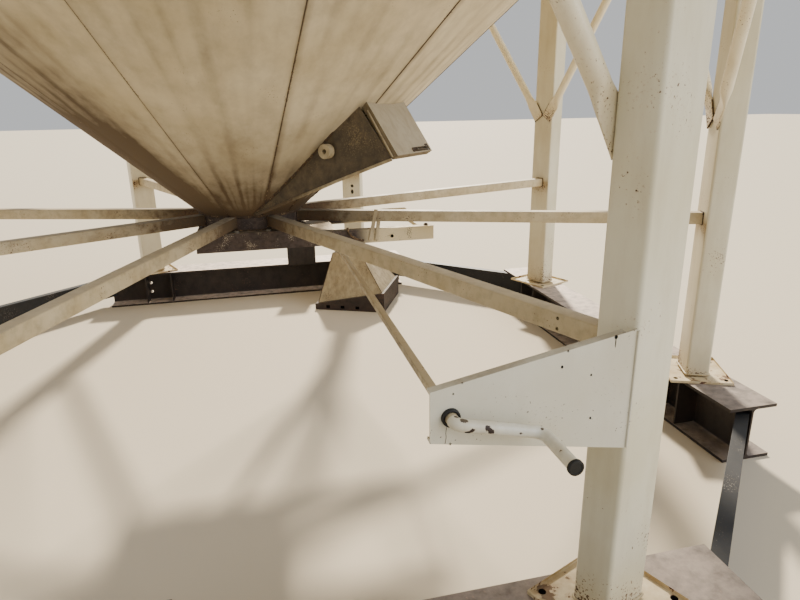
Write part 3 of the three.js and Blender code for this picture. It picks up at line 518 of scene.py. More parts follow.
for n, turn in enumerate(legAngles):
    tube, foot = (placed(grid, turn) for grid in legGrids())
    # splash = exp(-height / 0.35 m); rain also carries rust down the inner face from the spoke's weld
    z = tube[..., 2]
    splash = np.exp(-np.clip(z - plateTop, 0, None) / leg["splash"])
    drip = np.exp(-((z - leg["drip"]) / np.where(z > leg["drip"], *leg["dripReach"])) ** 2)
    inward = np.hypot(tube[..., 0], tube[..., 1]) < legInside + 0.004
    marks = {"grimeAndShade": [0.3 * splash ** 2 + (0.15 + 0.7 * drip) * inward],
             "rust": [0.55 * splash ** 4 + 0.5 * drip * inward]}
    makePiece(f"legTube{n + 1}", [(tube, False)], creamEnamel,
              replaces=f"leg_{n + 1}", marks=marks)
    makePiece(f"basePlate{n + 1}", [(foot, False)], scabbedEnamel)
loop = atHeight(cornerOutline(silo["legDepth"] + 2 * leg["weldOut"], silo["legWidth"] + 2 * leg["weldOut"],
                              leg["corner"] + leg["weldOut"]), plateTop + 0.001) + (ringRadius, 0, 0)
footBeads = [weldBead(placed(loop, turn), leg["weld"], 10 + n, closed=True)
             for n, turn in enumerate(legAngles)]
makePiece("legFootBeads", footBeads, paintedBead, sharp=180)
holeX, holeY = leg["plateHolesAt"]
# holes in the base plates and in one leg, drawn as flat spots of painted shade
plateHoles = [flatSpot(leg["plateHole"], leg["plateHole"], flatUp, (ringRadius + x, y, plateTop), turn)
              for turn in legAngles for x in (-holeX, holeX) for y in (-holeY, holeY)]
legHoles = [flatSpot(wide, high, faceIn, (legInside, leg["holesAcross"], z), legAngles[3])
            for wide, high, z in leg["holes"]]
makePiece("plateHoles", plateHoles + legHoles, darkHole, sharp=30)
print("stage: legs")

# Spokes: square tubes from the collar to the legs, leaning a little, ends cut upright

spoke = {
    "size": 0.051, "corner": 0.005, "hubTop": 0.998, "from": 0.2403, "to": 2.0829, "dirtReach": 0.33,
    "legTops": [0.976, 1.004, 0.985, 0.990, 0.985, 0.975, 0.957, 0.945],
    "weld": 0.0032, "weldOut": 0.001, "weldUp": (0.1, 0.2, 0.97),
    "hole": 0.0045, "holes": [(1, 1.937, 0.013), (1, 1.937, -0.014)],  # leg, place along, above the middle
}


def spokeMiddle(legTop, x):
    # the height of the tube's middle at x, and its slope
    slope = (legTop - spoke["hubTop"]) / (spoke["to"] - spoke["from"])
    return spoke["hubTop"] - spoke["size"] / 2 + slope * (x - spoke["from"]), slope


def spokeGrid(legTop):
    # point = (x, u, middle(x) + v / cos(lean)), so both ends stay upright
    x = np.concatenate([[spoke["from"], spoke["from"] + 0.02], np.linspace(0.35, 1.95, 17), [spoke["to"]]])
    middle, slope = spokeMiddle(legTop, x)
    outline = cornerOutline(spoke["size"], spoke["size"], spoke["corner"], 4)
    across = np.broadcast_to(outline[:, 0], (len(x), len(outline)))
    high = middle[:, None] + outline[:, 1] * math.hypot(1, slope)
    return capped(np.stack([np.broadcast_to(x[:, None], across.shape), across, high], axis=-1))


spokeBeads = []
for n, turn in enumerate(legAngles):
    legTop = spoke["legTops"][n]
    grid = spokeGrid(legTop)
    near = np.exp(-np.clip(grid[..., 0] - spoke["from"], 0, None) / spoke["dirtReach"])
    makePiece(f"spokeTube{n + 1}", [(placed(grid, turn), False)], speckledEnamel,
              replaces=f"spoke_{n + 1}", marks={"grimeAndShade": [1.5 * near], "rust": [0.35 * near]})
    for x, top in ((spoke["from"] + 0.0015, spoke["hubTop"]), (spoke["to"] - 0.001, legTop)):
        half, middle = spoke["size"] / 2 + spoke["weldOut"], top - spoke["size"] / 2
        loop = [(x, y * half, middle + z * half) for y, z in ((1, 1), (-1, 1), (-1, -1), (1, -1))]
        spokeBeads.append(weldBead(placed(loop, turn), spoke["weld"], 30 + n, spoke["weldUp"], closed=True))
makePiece("spokeBeads", spokeBeads, rustyBead, sharp=180)
# holes in one spoke, drawn as flat spots of painted shade
spokeHoles = []
for n, x, z in spoke["holes"]:
    centre = (x, -spoke["size"] / 2, spokeMiddle(spoke["legTops"][n - 1], x)[0] + z)
    spokeHoles.append(flatSpot(spoke["hole"], spoke["hole"], faceFront, centre, legAngles[n - 1], 16))
makePiece("spokeHoles", spokeHoles, darkHole)
print("stage: spokes")

# Brace pipes: hammered flat on the leg, then round up to the ring

brace = {
    "pipe": 0.048, "sides": 28, "foot": (0.033, 1.377), "flat": (0.076, 0.009), "flatLength": 0.09,
    "rounding": 0.075, "squareness": 0.35, "endWeld": 0.0035, "sideWeld": 0.003, "rustReach": 0.12,
}


def braceFoot(side):
    # the middle of the flat's lower end, the way across it, and the way up the leg's face
    foot = np.array([legInside - 0.0003 - brace["flat"][1] / 2, side * brace["foot"][0], brace["foot"][1]])
    end = around(ringRadius, side * math.pi / 8, silo["legTop"] - brace["pipe"])
    upFace = (end - foot) * (0, 1, 1)
    upFace /= np.linalg.norm(upFace)
    return foot, end, np.cross(upFace, (-1, 0, 0)), upFace


def bracePipe(side):
    # rings carried up the pipe: half width and half thickness go from the flat to the round, and the
    # outline's exponent from `squareness` to 1, by the smooth step t t (3 - 2 t) along the rounding
    foot, end, across, upFace = braceFoot(side)
    bend = foot + upFace * brace["flatLength"]
    far = np.linalg.norm(end - bend)
    toRing = (end - bend) / far
    t = np.linspace(0, 1, 13)
    blend = np.concatenate([np.zeros(4), t * t * (3 - 2 * t), np.ones(6)])
    centre = np.concatenate([foot + upFace * np.linspace(0, brace["flatLength"], 4)[:, None],
                             bend + toRing * (t * brace["rounding"])[:, None] + toRing * 1e-4,
                             bend + toRing * np.linspace(brace["rounding"] + 0.02, far, 6)[:, None]])
    lean = np.concatenate([np.zeros(4), np.ones(19)])[:, None]
    out = np.cross(upFace * (1 - lean) + toRing * lean, across)
    turn = (np.arange(brace["sides"]) + 0.5) * 2 * np.pi / brace["sides"]
    power = brace["squareness"] + (1 - brace["squareness"]) * blend[:, None]
    wide, thick = (flat + (brace["pipe"] - flat) * blend[:, None] for flat in brace["flat"])
    u = np.cos(turn) * wide / 2
    v = np.sign(np.sin(turn)) * np.abs(np.sin(turn)) ** power * thick / 2
    return capped(centre[:, None] + across * u[..., None] + out[:, None] * v[..., None])


def braceBeads(seed):
    # beads along both cut ends and up the inner edges, forming a cross on the leg
    beads = []
    for side in (-1, 1):
        foot, _, across, upFace = braceFoot(side)
        half = brace["flat"][0] / 2
        inner = min((foot - across * half, foot + across * half), key=lambda p: abs(p[1]))
        beads.append(weldBead([inner, 2 * foot - inner], brace["endWeld"], seed, up=(1, 0, 0)))
        beads.append(weldBead([inner, inner + upFace * brace["flatLength"]], brace["sideWeld"], seed + 1,
                              up=(1, 0, 0)))
    return beads


beads = []
for n, turn in enumerate(legAngles):
    pipes = [bracePipe(side) for side in (-1, 1)]
    near = [np.exp(-np.clip(p[..., 2] - brace["foot"][1], 0, None) / brace["rustReach"]) for p in pipes]
    makePiece(f"bracePipes{n + 1}", [(placed(p, turn), False) for p in pipes], pipeEnamel,
              replaces=f"brace_pair_{n + 1}", sharp=50,
              marks={"grimeAndShade": [0.3 * v for v in near], "rust": [0.5 * v for v in near]})
    beads += turned(braceBeads(60 + 2 * n), turn)
makePiece("braceBeads", beads, rustyBead, sharp=180)
print("stage: braces")

# Hopper cone and roof: rolled sheets, each lapped over the next and welded along the lap

hopper = {
    "apex": 0.787, "slope": 41.4, "thick": 0.005, "from": 0.2333, "to": 2.1317, "step": 0.002, "columns": 30,
    "seams": np.concatenate([[-146.7, -113.9, -78.4], np.linspace(-48.5, 213.3, 9)[:-1]]),
    "bead": 0.0016, "beadSpan": (0.245, 2.13),
    "dark": (1.52, 0.46), "band": (1.05, 0.025),  # darker below this height, in full this far down: dirt and painted shade
    "runs": {"seed": 7, "count": 12, "waves": (26, 90), "rates": (2, 9), "amount": 0.13},
    "shadeFlank": {"middle": -157, "full": 20, "none": 40, "amount": 0.80, "fade": 1.1, "fadeFrom": 0.74},
}
roof = {
    "slope": 30, "thick": 0.004, "from": 0.300, "to": 2.171, "step": 0.003, "columns": 12,
    "seams": 10 + 30.0 * np.arange(12),
}
lap = {  # metres from a sheet's lap edge and its far edge, and what the points there carry
    "near": np.array([0, 0.004, 0.012, 0.025, 0.037]), "far": np.array([0.012, 0.004, 0]),
    "lift": ([1, 1, 1, 1, 0], [0, 0, 0]), "rust": ([1, 0.4, 0, 0, 0], [0, 0.4, 1]),
    "grimeAndShade": ([0.9, 0.25, 0.1, 0.03, 0], [0, 0.2, 0.9]),
}


def lappedCone(shape, outerHeight, facing, rows=44):
    # outer point = (r cos a, r sin a, h(r)) + n * d: a runs over each sheet from its lap edge, and d is
    # the lap's step, which falls to nothing 37 mm in. The inner face lies one thickness behind it.
    r = np.linspace(shape["from"], shape["to"], rows)[:, None]
    seams = np.radians(np.append(shape["seams"], shape["seams"][0] + 360))
    part = np.linspace(0, 1, shape["columns"])[1:-1]
    turns = []
    for a, b in zip(seams[:-1], seams[1:]):
        first, last = a + lap["near"] / r, b - lap["far"] / r
        turns += [first, first[:, -1:] + (last[:, :1] - first[:, -1:]) * part, last]
    turn = np.concatenate(turns, axis=1)
    carried = [np.concatenate([lap[key][0], 0 * part, lap[key][1]]) for key in ("lift", "rust", "grimeAndShade")]
    lift, rust, grimeAndShade = (np.broadcast_to(np.tile(row, len(shape["seams"])), turn.shape) for row in carried)
    slope = math.radians(shape["slope"])
    face, normal = around(r, turn, outerHeight(r)), around(math.sin(slope), turn, facing * math.cos(slope))
    outer = face + normal * (lift * shape["step"])[..., None]
    inner = face - np.array([0, 0, facing]) * shape["thick"] / math.cos(slope)
    return np.concatenate([outer, inner[::-1]]), *(np.concatenate([mark, 0 * mark]) for mark in (rust, grimeAndShade))


def dirtRuns(turn, r, runs):
    # the positive part of a sum of waves round the cone, each swelling and fading along the slope: the
    # count of each wave, its rate along the slope and its starts are seeded
    random = np.random.default_rng(runs["seed"])
    counts = random.integers(*runs["waves"], runs["count"])
    rates = random.uniform(*runs["rates"], runs["count"])
    starts = random.uniform(0, 2 * np.pi, (2, runs["count"]))
    waves = np.cos(turn[..., None] * counts + starts[0]) * (1 + np.sin(r[..., None] * rates + starts[1]))
    return runs["amount"] * np.clip(waves.sum(axis=-1) / math.sqrt(runs["count"] / 2) - 0.2, 0, 1.6)


def shadedFlank(turn, r, shadeFlank):
    # painted shade on the flank turned from the light: smooth step from `none` to `full` degrees off the
    # flank's middle, weaker further up the cone
    away = np.abs((np.degrees(turn) - shadeFlank["middle"] + 180) % 360 - 180)
    t = np.clip((shadeFlank["none"] - away) / (shadeFlank["none"] - shadeFlank["full"]), 0, 1)
    fading = np.clip(shadeFlank["amount"] - shadeFlank["fade"] * (r - shadeFlank["fadeFrom"]), 0.15, 0.9)
    return t * t * (3 - 2 * t) * fading


def hopperHeight(r):
    # apex + r tan(slope)
    return hopper["apex"] + r * math.tan(math.radians(hopper["slope"]))


def slopeLine(height, turn, lift, start, end):
    # a straight line up a cone's outer face, `lift` off it
    r = np.array([start, end])
    return around(r + lift * 0.5, math.radians(turn), height(r) - lift * 0.7)


grid, rust, grimeAndShade = lappedCone(hopper, hopperHeight, -1)
roundCone, fromAxis = np.arctan2(grid[..., 1], grid[..., 0]), np.hypot(grid[..., 0], grid[..., 1])
low, band = (np.clip((top - grid[..., 2]) / reach, 0, 1) for top, reach in (hopper["dark"], hopper["band"]))
# dirt along the laps, dirt and painted shade towards the bottom, run marks, and painted shade on the flank
# turned from the light
grimeAndShade = 0.7 * grimeAndShade + 0.85 * low ** 1.4 + 0.6 * band + dirtRuns(roundCone, fromAxis, hopper["runs"]) \
    + shadedFlank(roundCone, fromAxis, hopper["shadeFlank"])
rust = 0.85 * rust + 0.25 * low ** 2 + 0.3 * band
makePiece("hopperSheets", [(grid, True)], dustyShadedEnamel, replaces="hopper_cone",
          sharp=25, marks={"rust": [rust], "grimeAndShade": [np.clip(grimeAndShade, 0, 1)]})
seamLines = [slopeLine(hopperHeight, seam - 0.05, 0.001, *hopper["beadSpan"]) for seam in hopper["seams"]]
seamBeads = [weldBead(line, hopper["bead"], 90 + n, step=0.004, sides=5, ripple=0.009)
             for n, line in enumerate(seamLines)]
makePiece("hopperSeamBeads", seamBeads, rustyBead, sharp=180)
print("stage: hopper")

# Tank wall: four courses of rolled sheet, drawn in a little along each weld

wall = {"radius": 2.137, "thick": 0.005, "course": 1.2192, "pull": 0.0016, "pullReach": 0.045, "sheets": 4,
        "seamRust": 0.02, "levelBead": 0.0024, "uprightBead": 0.0022, "firstSeam": 20}
courses = silo["wallLow"] + wall["course"] * np.arange(4)


def wallGrid(columns=192):
    # radius = R - pull * exp(-(distance to a level seam / 45 mm) squared)
    near = np.array([-0.12, -0.06, -0.03, -0.012, 0, 0.012, 0.03, 0.06, 0.12])
    z = np.sort(np.concatenate([[silo["wallLow"], silo["wallTop"]], (courses[1:, None] + near).ravel(),
                                silo["wallLow"] + wall["course"] * (np.arange(4) + 0.5)]))
    away = np.abs(z[:, None] - courses[1:]).min(axis=1)
    r = wall["radius"] - wall["pull"] * np.exp(-(away / wall["pullReach"]) ** 2)
    outline = np.concatenate([np.stack([r, z], axis=-1),
                              np.stack([r - wall["thick"], z], axis=-1)[::-1]])
    marks = np.concatenate([np.exp(-(away / wall["seamRust"]) ** 2), np.zeros(len(z))])
    return revolve(outline, columns), np.repeat(marks[:, None], columns, axis=1)


def ringPoints(radius, z, count=360):
    # a level circle of `count` points
    return atHeight(roundOutline(radius, count), z)


grid, seam = wallGrid()
makePiece("wallSheets", [(grid, True)], creamEnamel, replaces="tank_wall", sharp=25,
          marks={"grimeAndShade": [0.35 * seam], "rust": [0.35 * seam]})
wallBeads = [weldBead(ringPoints(wall["radius"] - 0.0012, z), wall["levelBead"], 121 + k, closed=True,
                      step=0.008, sides=5, ripple=0.017) for k, z in enumerate(courses[1:])]
for k, low in enumerate(courses):
    for n in range(wall["sheets"]):
        foot = around(wall["radius"], math.radians(wall["firstSeam"] + 45 * (k % 2) + 90 * n), low)
        line = [foot + (0, 0, 0.01), foot + (0, 0, wall["course"] - 0.01)]
        wallBeads.append(weldBead(line, wall["uprightBead"], 130 + 4 * k + n, up=(1, 0.3, 0), step=0.006,
                                  sides=5, ripple=0.013))
makePiece("wallBeads", wallBeads, paintedBead, sharp=180)

# Ring plate under the wall, welded in short runs

ring = {"inner": 2.052, "outer": 2.192, "low": 2.5603, "high": 2.5723, "soft": 0.0012,
        "runs": 48, "halfRun": 1.1, "beadRadius": 2.1385, "bead": 0.0035}


def ringOutline(inner, outer, low, high, soft):
    # a rectangle in (r, z) with its four corners cut back by `soft`
    return [[inner + soft, low], [outer - soft, low], [outer, low + soft], [outer, high - soft],
            [outer - soft, high], [inner + soft, high], [inner, high - soft], [inner, low + soft]]


outline = ringOutline(*(ring[key] for key in ("inner", "outer", "low", "high", "soft")))
makePiece("ringPlate", [(revolve(outline, 192), True)], creamEnamel,
          replaces="ring_plate")
ringBeads = []
for n in range(ring["runs"]):
    turn = np.radians(np.linspace(-ring["halfRun"], ring["halfRun"], 12) + 360 / ring["runs"] * n)
    arc = around(ring["beadRadius"], turn, ring["high"] + 0.0015)
    ringBeads.append(weldBead(arc, ring["bead"], 150 + n, step=0.005, sides=5, ripple=0.011))
makePiece("ringBeads", ringBeads, paintedBead, sharp=180)
print("stage: tank wall")

# Roof: the lapped sheets, a round hatch with a lid, a handle and clamps


def roofHeight(r):
    # wall top + (R - r) tan(slope) + the sheet's upright thickness
    slope = math.radians(roof["slope"])
    thick = roof["thick"] / math.cos(slope)
    return silo["wallTop"] + 0.0003 + (wall["radius"] - r) * math.tan(slope) + thick


grid, rust, grimeAndShade = lappedCone(roof, roofHeight, 1)
makePiece("roofSheets", [(grid, True)], creamEnamel, replaces="roof_cone", sharp=20,
          marks={"rust": [0.5 * rust], "grimeAndShade": [0.5 * grimeAndShade]})

hatch = {
    "hole": 0.300, "thick": 0.006, "height": 0.090,
    "lid": 0.322, "crown": 0.060, "skirt": 0.040, "rim": 0.012,
    "handle": (0.06, 0.040, 0.052, 0.004), "handleRod": 0.005,  # half length, foot, arch foot, arch rise
    "clamp": [(0.3252, -0.050), (0.3252, -0.006), (0.3185, 0.0125), (0.2900, 0.0225)],
    "clampStrip": (0.003, 0.026, 0.0012), "clampsAt": (30, 150, 270),
}
base = roofHeight(hatch["hole"]) + 0.0003
top = base + hatch["height"]
inner, outer = hatch["hole"], hatch["hole"] + hatch["thick"]
outline = [[inner, base], [outer, base], [outer, top], [inner, top]]
makePiece("hatchCollar", [(revolve(outline), True)], creamEnamel, replaces="roof_collar")


def lidOutline():
    # crown height = crown * (1 - (r / R) squared), then a rolled rim and a straight skirt
    lid, rim = hatch["lid"], hatch["rim"]
    r = np.linspace(0, lid - rim, 12)
    crown = hatch["crown"] * (1 - (r / lid) ** 2)
    outer = np.stack([r, top + 0.008 + crown], axis=-1)
    turn = np.linspace(0.2, np.pi / 2, 5)
    rolled = np.stack([lid - rim + rim * np.sin(turn), top - 0.004 + rim * np.cos(turn)], axis=-1)
    under = np.stack([r[::-1], top + 0.0003 + crown[::-1]], axis=-1)
    skirt = [[lid, top - hatch["skirt"]], [lid - hatch["thick"], top - hatch["skirt"]],
             [lid - hatch["thick"], top - 0.006]]
    return np.concatenate([outer, rolled, skirt, under])


makePiece("hatchLid", [(revolve(lidOutline()), True)], creamEnamel, replaces="roof_lid")
half, foot, archFoot, rise = hatch["handle"]
arch = np.linspace(0, np.pi, 15)
handle = np.stack([-half * np.cos(arch), 0 * arch, top + archFoot + rise * np.sin(arch)], axis=-1)
handle = np.concatenate([[[-half, 0, top + foot]], handle, [[half, 0, top + foot]]])
makePiece("hatchHandle", [bar(handle, 0.006, roundOutline(hatch["handleRod"], 12), (0, 1, 0))], platedBolt,
          sharp=60)
clamp = [(r, 0, top + z) for r, z in hatch["clamp"]]
makePiece("hatchClamps", [bar(clamp, 0.004, cornerOutline(*hatch["clampStrip"], 3), (0, 1, 0), turn)
                          for turn in hatch["clampsAt"]], platedBolt)
print("stage: roof")

# Ladder: two flat rails, round rungs, stand-offs to the wall

ladder = {
    "turn": -112.5, "half": 0.2, "rail": (0.032, 0.010), "out": 2.307, "low": 2.9, "top": 8.3496,
    "rung": 0.0125, "rungs": (3.0, 0.3, 0.6),  # height of the first, spacing, and what stays free at the top
    "standoffs": [3.15, 4.5, 5.85, 7.2], "bolt": (0.014, 0.007),
}
out, half = ladder["out"], ladder["half"]
grids, railBolts = [], []
for side in (-1, 1):
    rail = slab(*ladder["rail"], ladder["low"], ladder["top"], 0.002, 0.001)
    grids.append((rail + (out, side * half, 0), False))
    for z in ladder["standoffs"]:
        block = slab(*ladder["rail"], wall["radius"] - 0.010, out - 0.016, 0.002, 0.001)
        block = np.stack([block[..., 2], block[..., 1] + side * half, block[..., 0] + z], axis=-1)
        grids.append((block, False))
    places = [(out, side * (half + ladder["rail"][1] / 2), z) for z in ladder["standoffs"]]
    railBolts += hexHeads(places, (0, side, 0), *ladder["bolt"])
first, spacing, below = ladder["rungs"]
for z in np.arange(first, ladder["top"] - below, spacing):
    rod = capped(revolve([[ladder["rung"], -half + 0.004], [ladder["rung"], half - 0.004]], 20))
    grids.append((alongY(rod, out, z), False))
makePiece("ladderFrame", turned(grids, ladder["turn"]), creamEnamel, replaces="ladder")
makePiece("ladderBolts", turned(railBolts, ladder["turn"]), platedBolt, sharp=30)
print("stage: ladder")

# Collar under the cone

collar = {"inner": 0.233, "outer": 0.240, "low": 0.9343, "high": 0.9921, "beadRadius": 0.2415,
          "topBead": (0.9975, 0.0055), "lowBead": (0.9365, 0.004)}
inner, outer, low, high = (collar[key] for key in ("inner", "outer", "low", "high"))
outline = [[inner, low]] + [[outer, z] for z in np.linspace(low, high, 5)] + [[inner, high]]
makePiece("collarBand", [(revolve(outline), True)], cakedEnamel,
          replaces="discharge_collar")
loops, beadRadii = zip(*((ringPoints(collar["beadRadius"], z, 120), radius)
                         for z, radius in (collar["topBead"], collar["lowBead"])))
collarBeads = [weldBead(loops[0], beadRadii[0], 200, closed=True, sides=8, ripple=0.008),
               weldBead(loops[1], beadRadii[1], 201, closed=True)]
makePiece("collarBeads", collarBeads, rustyBead, sharp=180)

# Gate, its frame and its shaft

gate = {
    "bolts": ((-0.2, -0.07, 0.07, 0.2), 0.268, 0.934), "strapOutline": (0.018, 0.004, 0.001),
    "strap": [(0.537, -0.2925, 0.866), (0.552, -0.2930, 0.940), (0.5675, -0.2930, 1.010)],
    "spare": [(0.566, -0.2950, 0.866), (0.577, -0.2950, 0.955)],
    "hook": [(0.428, 0.931), (0.436, 0.908), (0.452, 0.889), (0.478, 0.873), (0.505, 0.868)],
    "hookY": -0.2960, "hookRod": 0.0055, "hole": (0.642, -0.29, 0.879), "holeRadius": 0.008,
    "endBolt": (0.815, -0.268, 0.918), "endBoltSize": (0.016, 0.009),
}
dressNode("gate_frame", "gateFrame", cakedEnamel, bevel=0.0012)
dressNode("slide_gate", "slideGate", scrapedPlate, body="gate", bevel=0)
dressNode("gate_shaft", "gateShaft", scuffedEnamel, body="crank", bevel=0)
boltsX, boltY, boltZ = gate["bolts"]
makePiece("gateFrameBolts", hexHeads([(x, y, boltZ) for x in boltsX for y in (-boltY, boltY)], (0, 0, 1)),
          platedBolt, sharp=30)
makePiece("gateStraps", [bar(gate[key], 0.01, cornerOutline(*gate["strapOutline"], 3), (0, -1, 0))
                         for key in ("strap", "spare")], scuffedEnamel)
hook = [(x, gate["hookY"], z) for x, z in gate["hook"]]
makePiece("gateHook", [bar(hook, 0.005, roundOutline(gate["hookRod"], 14), (0, -1, 0))], rustyBead,
          sharp=60)
# a hole in the rail, drawn as a flat spot in rust brown: rust, and painted shade for its inside
r = gate["holeRadius"]
makePiece("railHole", [flatSpot(r, r, faceFront, gate["hole"])], rustyBead, sharp=30)
makePiece("railBolt", hexHeads([gate["endBolt"]], (0, 0, 1), *gate["endBoltSize"]), rustyBead,
          sharp=30)
print("stage: gate")

# Crank: bent pipe, rubber cap and bushing, tapered bracket

crank = {
    "pipe": 0.0133, "y": -2.086, "start": -2.0703, "elbow": (0.547, 0.836), "bend": 0.026, "end": -2.211,
    "cap": (0.016, -2.2113, -2.220), "bushing": (0.0135, 0.0195, -2.030, -2.062),
    "knocks": [  # place and radius of each chip
        (0.364, -2.077, 0.891, 0.005), (0.373, -2.086, 0.890, 0.007), (0.383, -2.090, 0.886, 0.006),
        (0.390, -2.098, 0.869, 0.007), (0.381, -2.096, 0.866, 0.004), (0.421, -2.098, 0.870, 0.006),
        (0.431, -2.098, 0.862, 0.007), (0.491, -2.098, 0.849, 0.004), (0.539, -2.096, 0.851, 0.004),
        (0.539, -2.140, 0.840, 0.004), (0.542, -2.173, 0.844, 0.006), (0.541, -2.190, 0.843, 0.003)],
}
bracket = {
    "face": -2.053, "bead": [(0.7635, -2.0545, 0.75), (0.7635, -2.0545, 1.02)], "beadRadius": 0.0026,
    "chips": [  # x, z and half width of each
        (0.6080, 0.9922, 0.0020), (0.5972, 0.9586, 0.0026), (0.6641, 0.9328, 0.0020),
        (0.6705, 0.8332, 0.0022), (0.3852, 0.9499, 0.0016), (0.3671, 0.9287, 0.0016),
        (0.3620, 0.8189, 0.0020), (0.7135, 1.0111, 0.0036)],
    "run": (0.0010, 0.011, 0.7135, 0.999),
    "crack": [(0.3545, 0.8585), (0.3525, 0.846), (0.3535, 0.835), (0.351, 0.821)], "crackRadius": 0.0006,
}


def curve(a, b, c, count=14):
    # a bend: (1 - t)^2 a + 2 t (1 - t) b + t^2 c
    t = np.linspace(0, 1, count)[:, None]
    return (1 - t) ** 2 * np.asarray(a) + 2 * t * (1 - t) * np.asarray(b) + t * t * np.asarray(c)


def crankPath():
    # straight out of the shaft, a bend, the arm, a bend at the elbow, and straight out to the cap
    x, z = silo["shaft"]
    first = np.array([x, crank["y"], z])
    second = np.array([crank["elbow"][0], crank["y"], crank["elbow"][1]])
    arm = (second - first) / np.linalg.norm(second - first)
    out = np.array([0, -1, 0])
    bend = crank["bend"]
    straight = np.linspace(first + arm * bend, second - arm * bend, 60)[1:-1]
    tail = np.linspace(second + out * bend, [second[0], crank["end"], second[2]], 40)[1:]
    return np.concatenate([curve((x, crank["start"], z), first, first + arm * bend), straight,
                           curve(second - arm * bend, second, second + out * bend), tail])


grid = capped(sweep(crankPath(), roundOutline(crank["pipe"], 32)))
knocked = sum(np.exp(-((grid - place) ** 2).sum(axis=-1) / r ** 2) for *place, r in crank["knocks"])
makePiece("crankPipe", [(grid, False)], chippedEnamel, body="crank",
          replaces="crank_handle", sharp=50, marks={"rust": [1.6 * np.clip(knocked, 0, 1)]})
r, back, front = crank["cap"]
outline = [[0, back], [r - 0.0012, back], [r, back - 0.0012], [r, front + 0.002],
           [r - 0.0006, front + 0.0006], [r - 0.002, front], [r - 0.0045, front],
           [r - 0.005, front + 0.001], [0, front + 0.001]]
makePiece("crankCap", [(alongY(revolve(outline, 40), *crank["elbow"]), False)], mouldedRubber,
          body="crank", replaces="crank_grip", sharp=40)
inner, outer, back, front = crank["bushing"]
turn = np.linspace(0, np.pi, 9)
lip = (outer - inner) / 2
frontLip = np.stack([outer - lip + lip * np.cos(turn), front + lip - lip * np.sin(turn)], axis=-1)
backLip = np.stack([outer - lip - lip * np.cos(turn), back - lip + lip * np.sin(turn)], axis=-1)
grid = alongY(revolve(np.concatenate([frontLip, backLip]), 48), *silo["shaft"])
makePiece("shaftBushing", [(grid, True)], mouldedRubber, replaces="crank_bushing", sharp=60)
dressNode("crank_bracket", "crankBracket", bracketEnamel, bevel=0.0012)
bead = weldBead(bracket["bead"], bracket["beadRadius"], 220, up=(1, 0, 0))
makePiece("bracketBead", [bead], bracketEnamel, sharp=180)
spots = [(r, 1.3 * r, x, z) for x, z, r in bracket["chips"]] + [bracket["run"]]
spots = [flatSpot(wide, high, faceFront, (x, bracket["face"], z)) for wide, high, x, z in spots]
makePiece("bracketChips", spots, rustyBead)
crack = [(x, bracket["face"], z) for x, z in bracket["crack"]]
makePiece("bracketCrack", [bar(crack, 0.003, roundOutline(bracket["crackRadius"], 8), (0, 1, 0))], rustyBead,
          sharp=180)
print("stage: crank")

# Chute under the cone: box, lid with hinge rod and latch, stub of pipe

chute = {
    "turn": -42, "half": 0.187, "stub": (0.612, 1.298, 0.029, 0.0095, 0.034), "stubSoft": 0.0015,
    "hinge": [(0.891, -0.156, 1.2784), (0.782, -0.156, 1.4530)], "hingeRod": 0.0032,
    "strip": [(0.200, -0.1895, 1.0112), (0.640, -0.1895, 1.1772), (0.884, -0.1525, 1.2690)],
    "stripOutline": (0.006, 0.012, 0.0025), "stripDirt": (0.56, 0.2),
    "joint": [(0.205, 1.0312), (0.2504, 1.0621), (0.3097, 1.1055), (0.3921, 1.1695), (0.5173, 1.2715),
              (0.640, 1.3751)], "jointAcross": 0.189, "caulk": 0.0045,
    "lidFace": (0.9124, 0, 1.2839), "lidLean": (0.8310, 0.5563),
    "latch": (0.006, 0.024, (-0.015, 0.105), 0.004),
    "clips": [(0.002, 0.034, (0.112, 0.130), 0.005), (0.010, 0.018, (0.02, 0.112), 0.009)],
}
dressNode("chute_box", "chuteBox", oiledEnamel, bevel=0.001)
dressNode("chute_lid", "chuteLid", lidEnamel, bevel=0.0015)
rod = bar(chute["hinge"], 0.01, roundOutline(chute["hingeRod"], 14), (0, 1, 0), chute["turn"])
makePiece("chuteHinge", [rod], scuffedEnamel, sharp=60)
along, z, r, bore, length = chute["stub"]
soft = chute["stubSoft"]
outline = [[bore, 0], [r - soft, 0], [r, soft], [r, length - soft], [r - soft, length],
           [bore + soft, length], [bore, length - soft]]
grid = alongY(revolve(outline, 36), along, z)
grid[..., 1] = -chute["half"] - 0.0003 - grid[..., 1]
makePiece("chuteStub", [(placed(grid, chute["turn"]), True)], scuffedEnamel,
          replaces="chute_stub")
strip = capped(sweep(evenly(chute["strip"], 0.02), cornerOutline(*chute["stripOutline"], 4)))
dirtTo, dirtReach = chute["stripDirt"]
makePiece("chuteStrip", [(placed(strip, chute["turn"]), False)], scuffedEnamel,
          marks={"grimeAndShade": [np.clip((dirtTo - strip[..., 0]) / dirtReach, 0, 1)]})
joints = []
for side in (-1, 1):
    line = placed([(x, side * chute["jointAcross"], z - 0.002) for x, z in chute["joint"]], chute["turn"])
    joints.append(weldBead(line, chute["caulk"], 240 + side, up=(0.3, 0.2, 1), ripple=0.031))
makePiece("chuteCaulk", joints, rustyBead, sharp=180)


def onLid(low, high, across, thick):
    # a block lying on the lid's face: (across, up, out) turned to the face's own axes
    block = slab(across[1] - across[0], high - low, 0.0003, thick, 0.002, 0.0008)
    block = block + ((across[0] + across[1]) / 2, (low + high) / 2, 0)
    c, s = chute["lidLean"]
    block = block @ np.array([(0, 1, 0), (-s, 0, c), (c, 0, s)]) + chute["lidFace"]
    return placed(block, chute["turn"]), False


makePiece("lidLatch", [onLid(*chute["latch"])], rustyBead)
makePiece("lidClip", [onLid(*clip) for clip in chute["clips"]], platedBolt)
print("stage: chute")

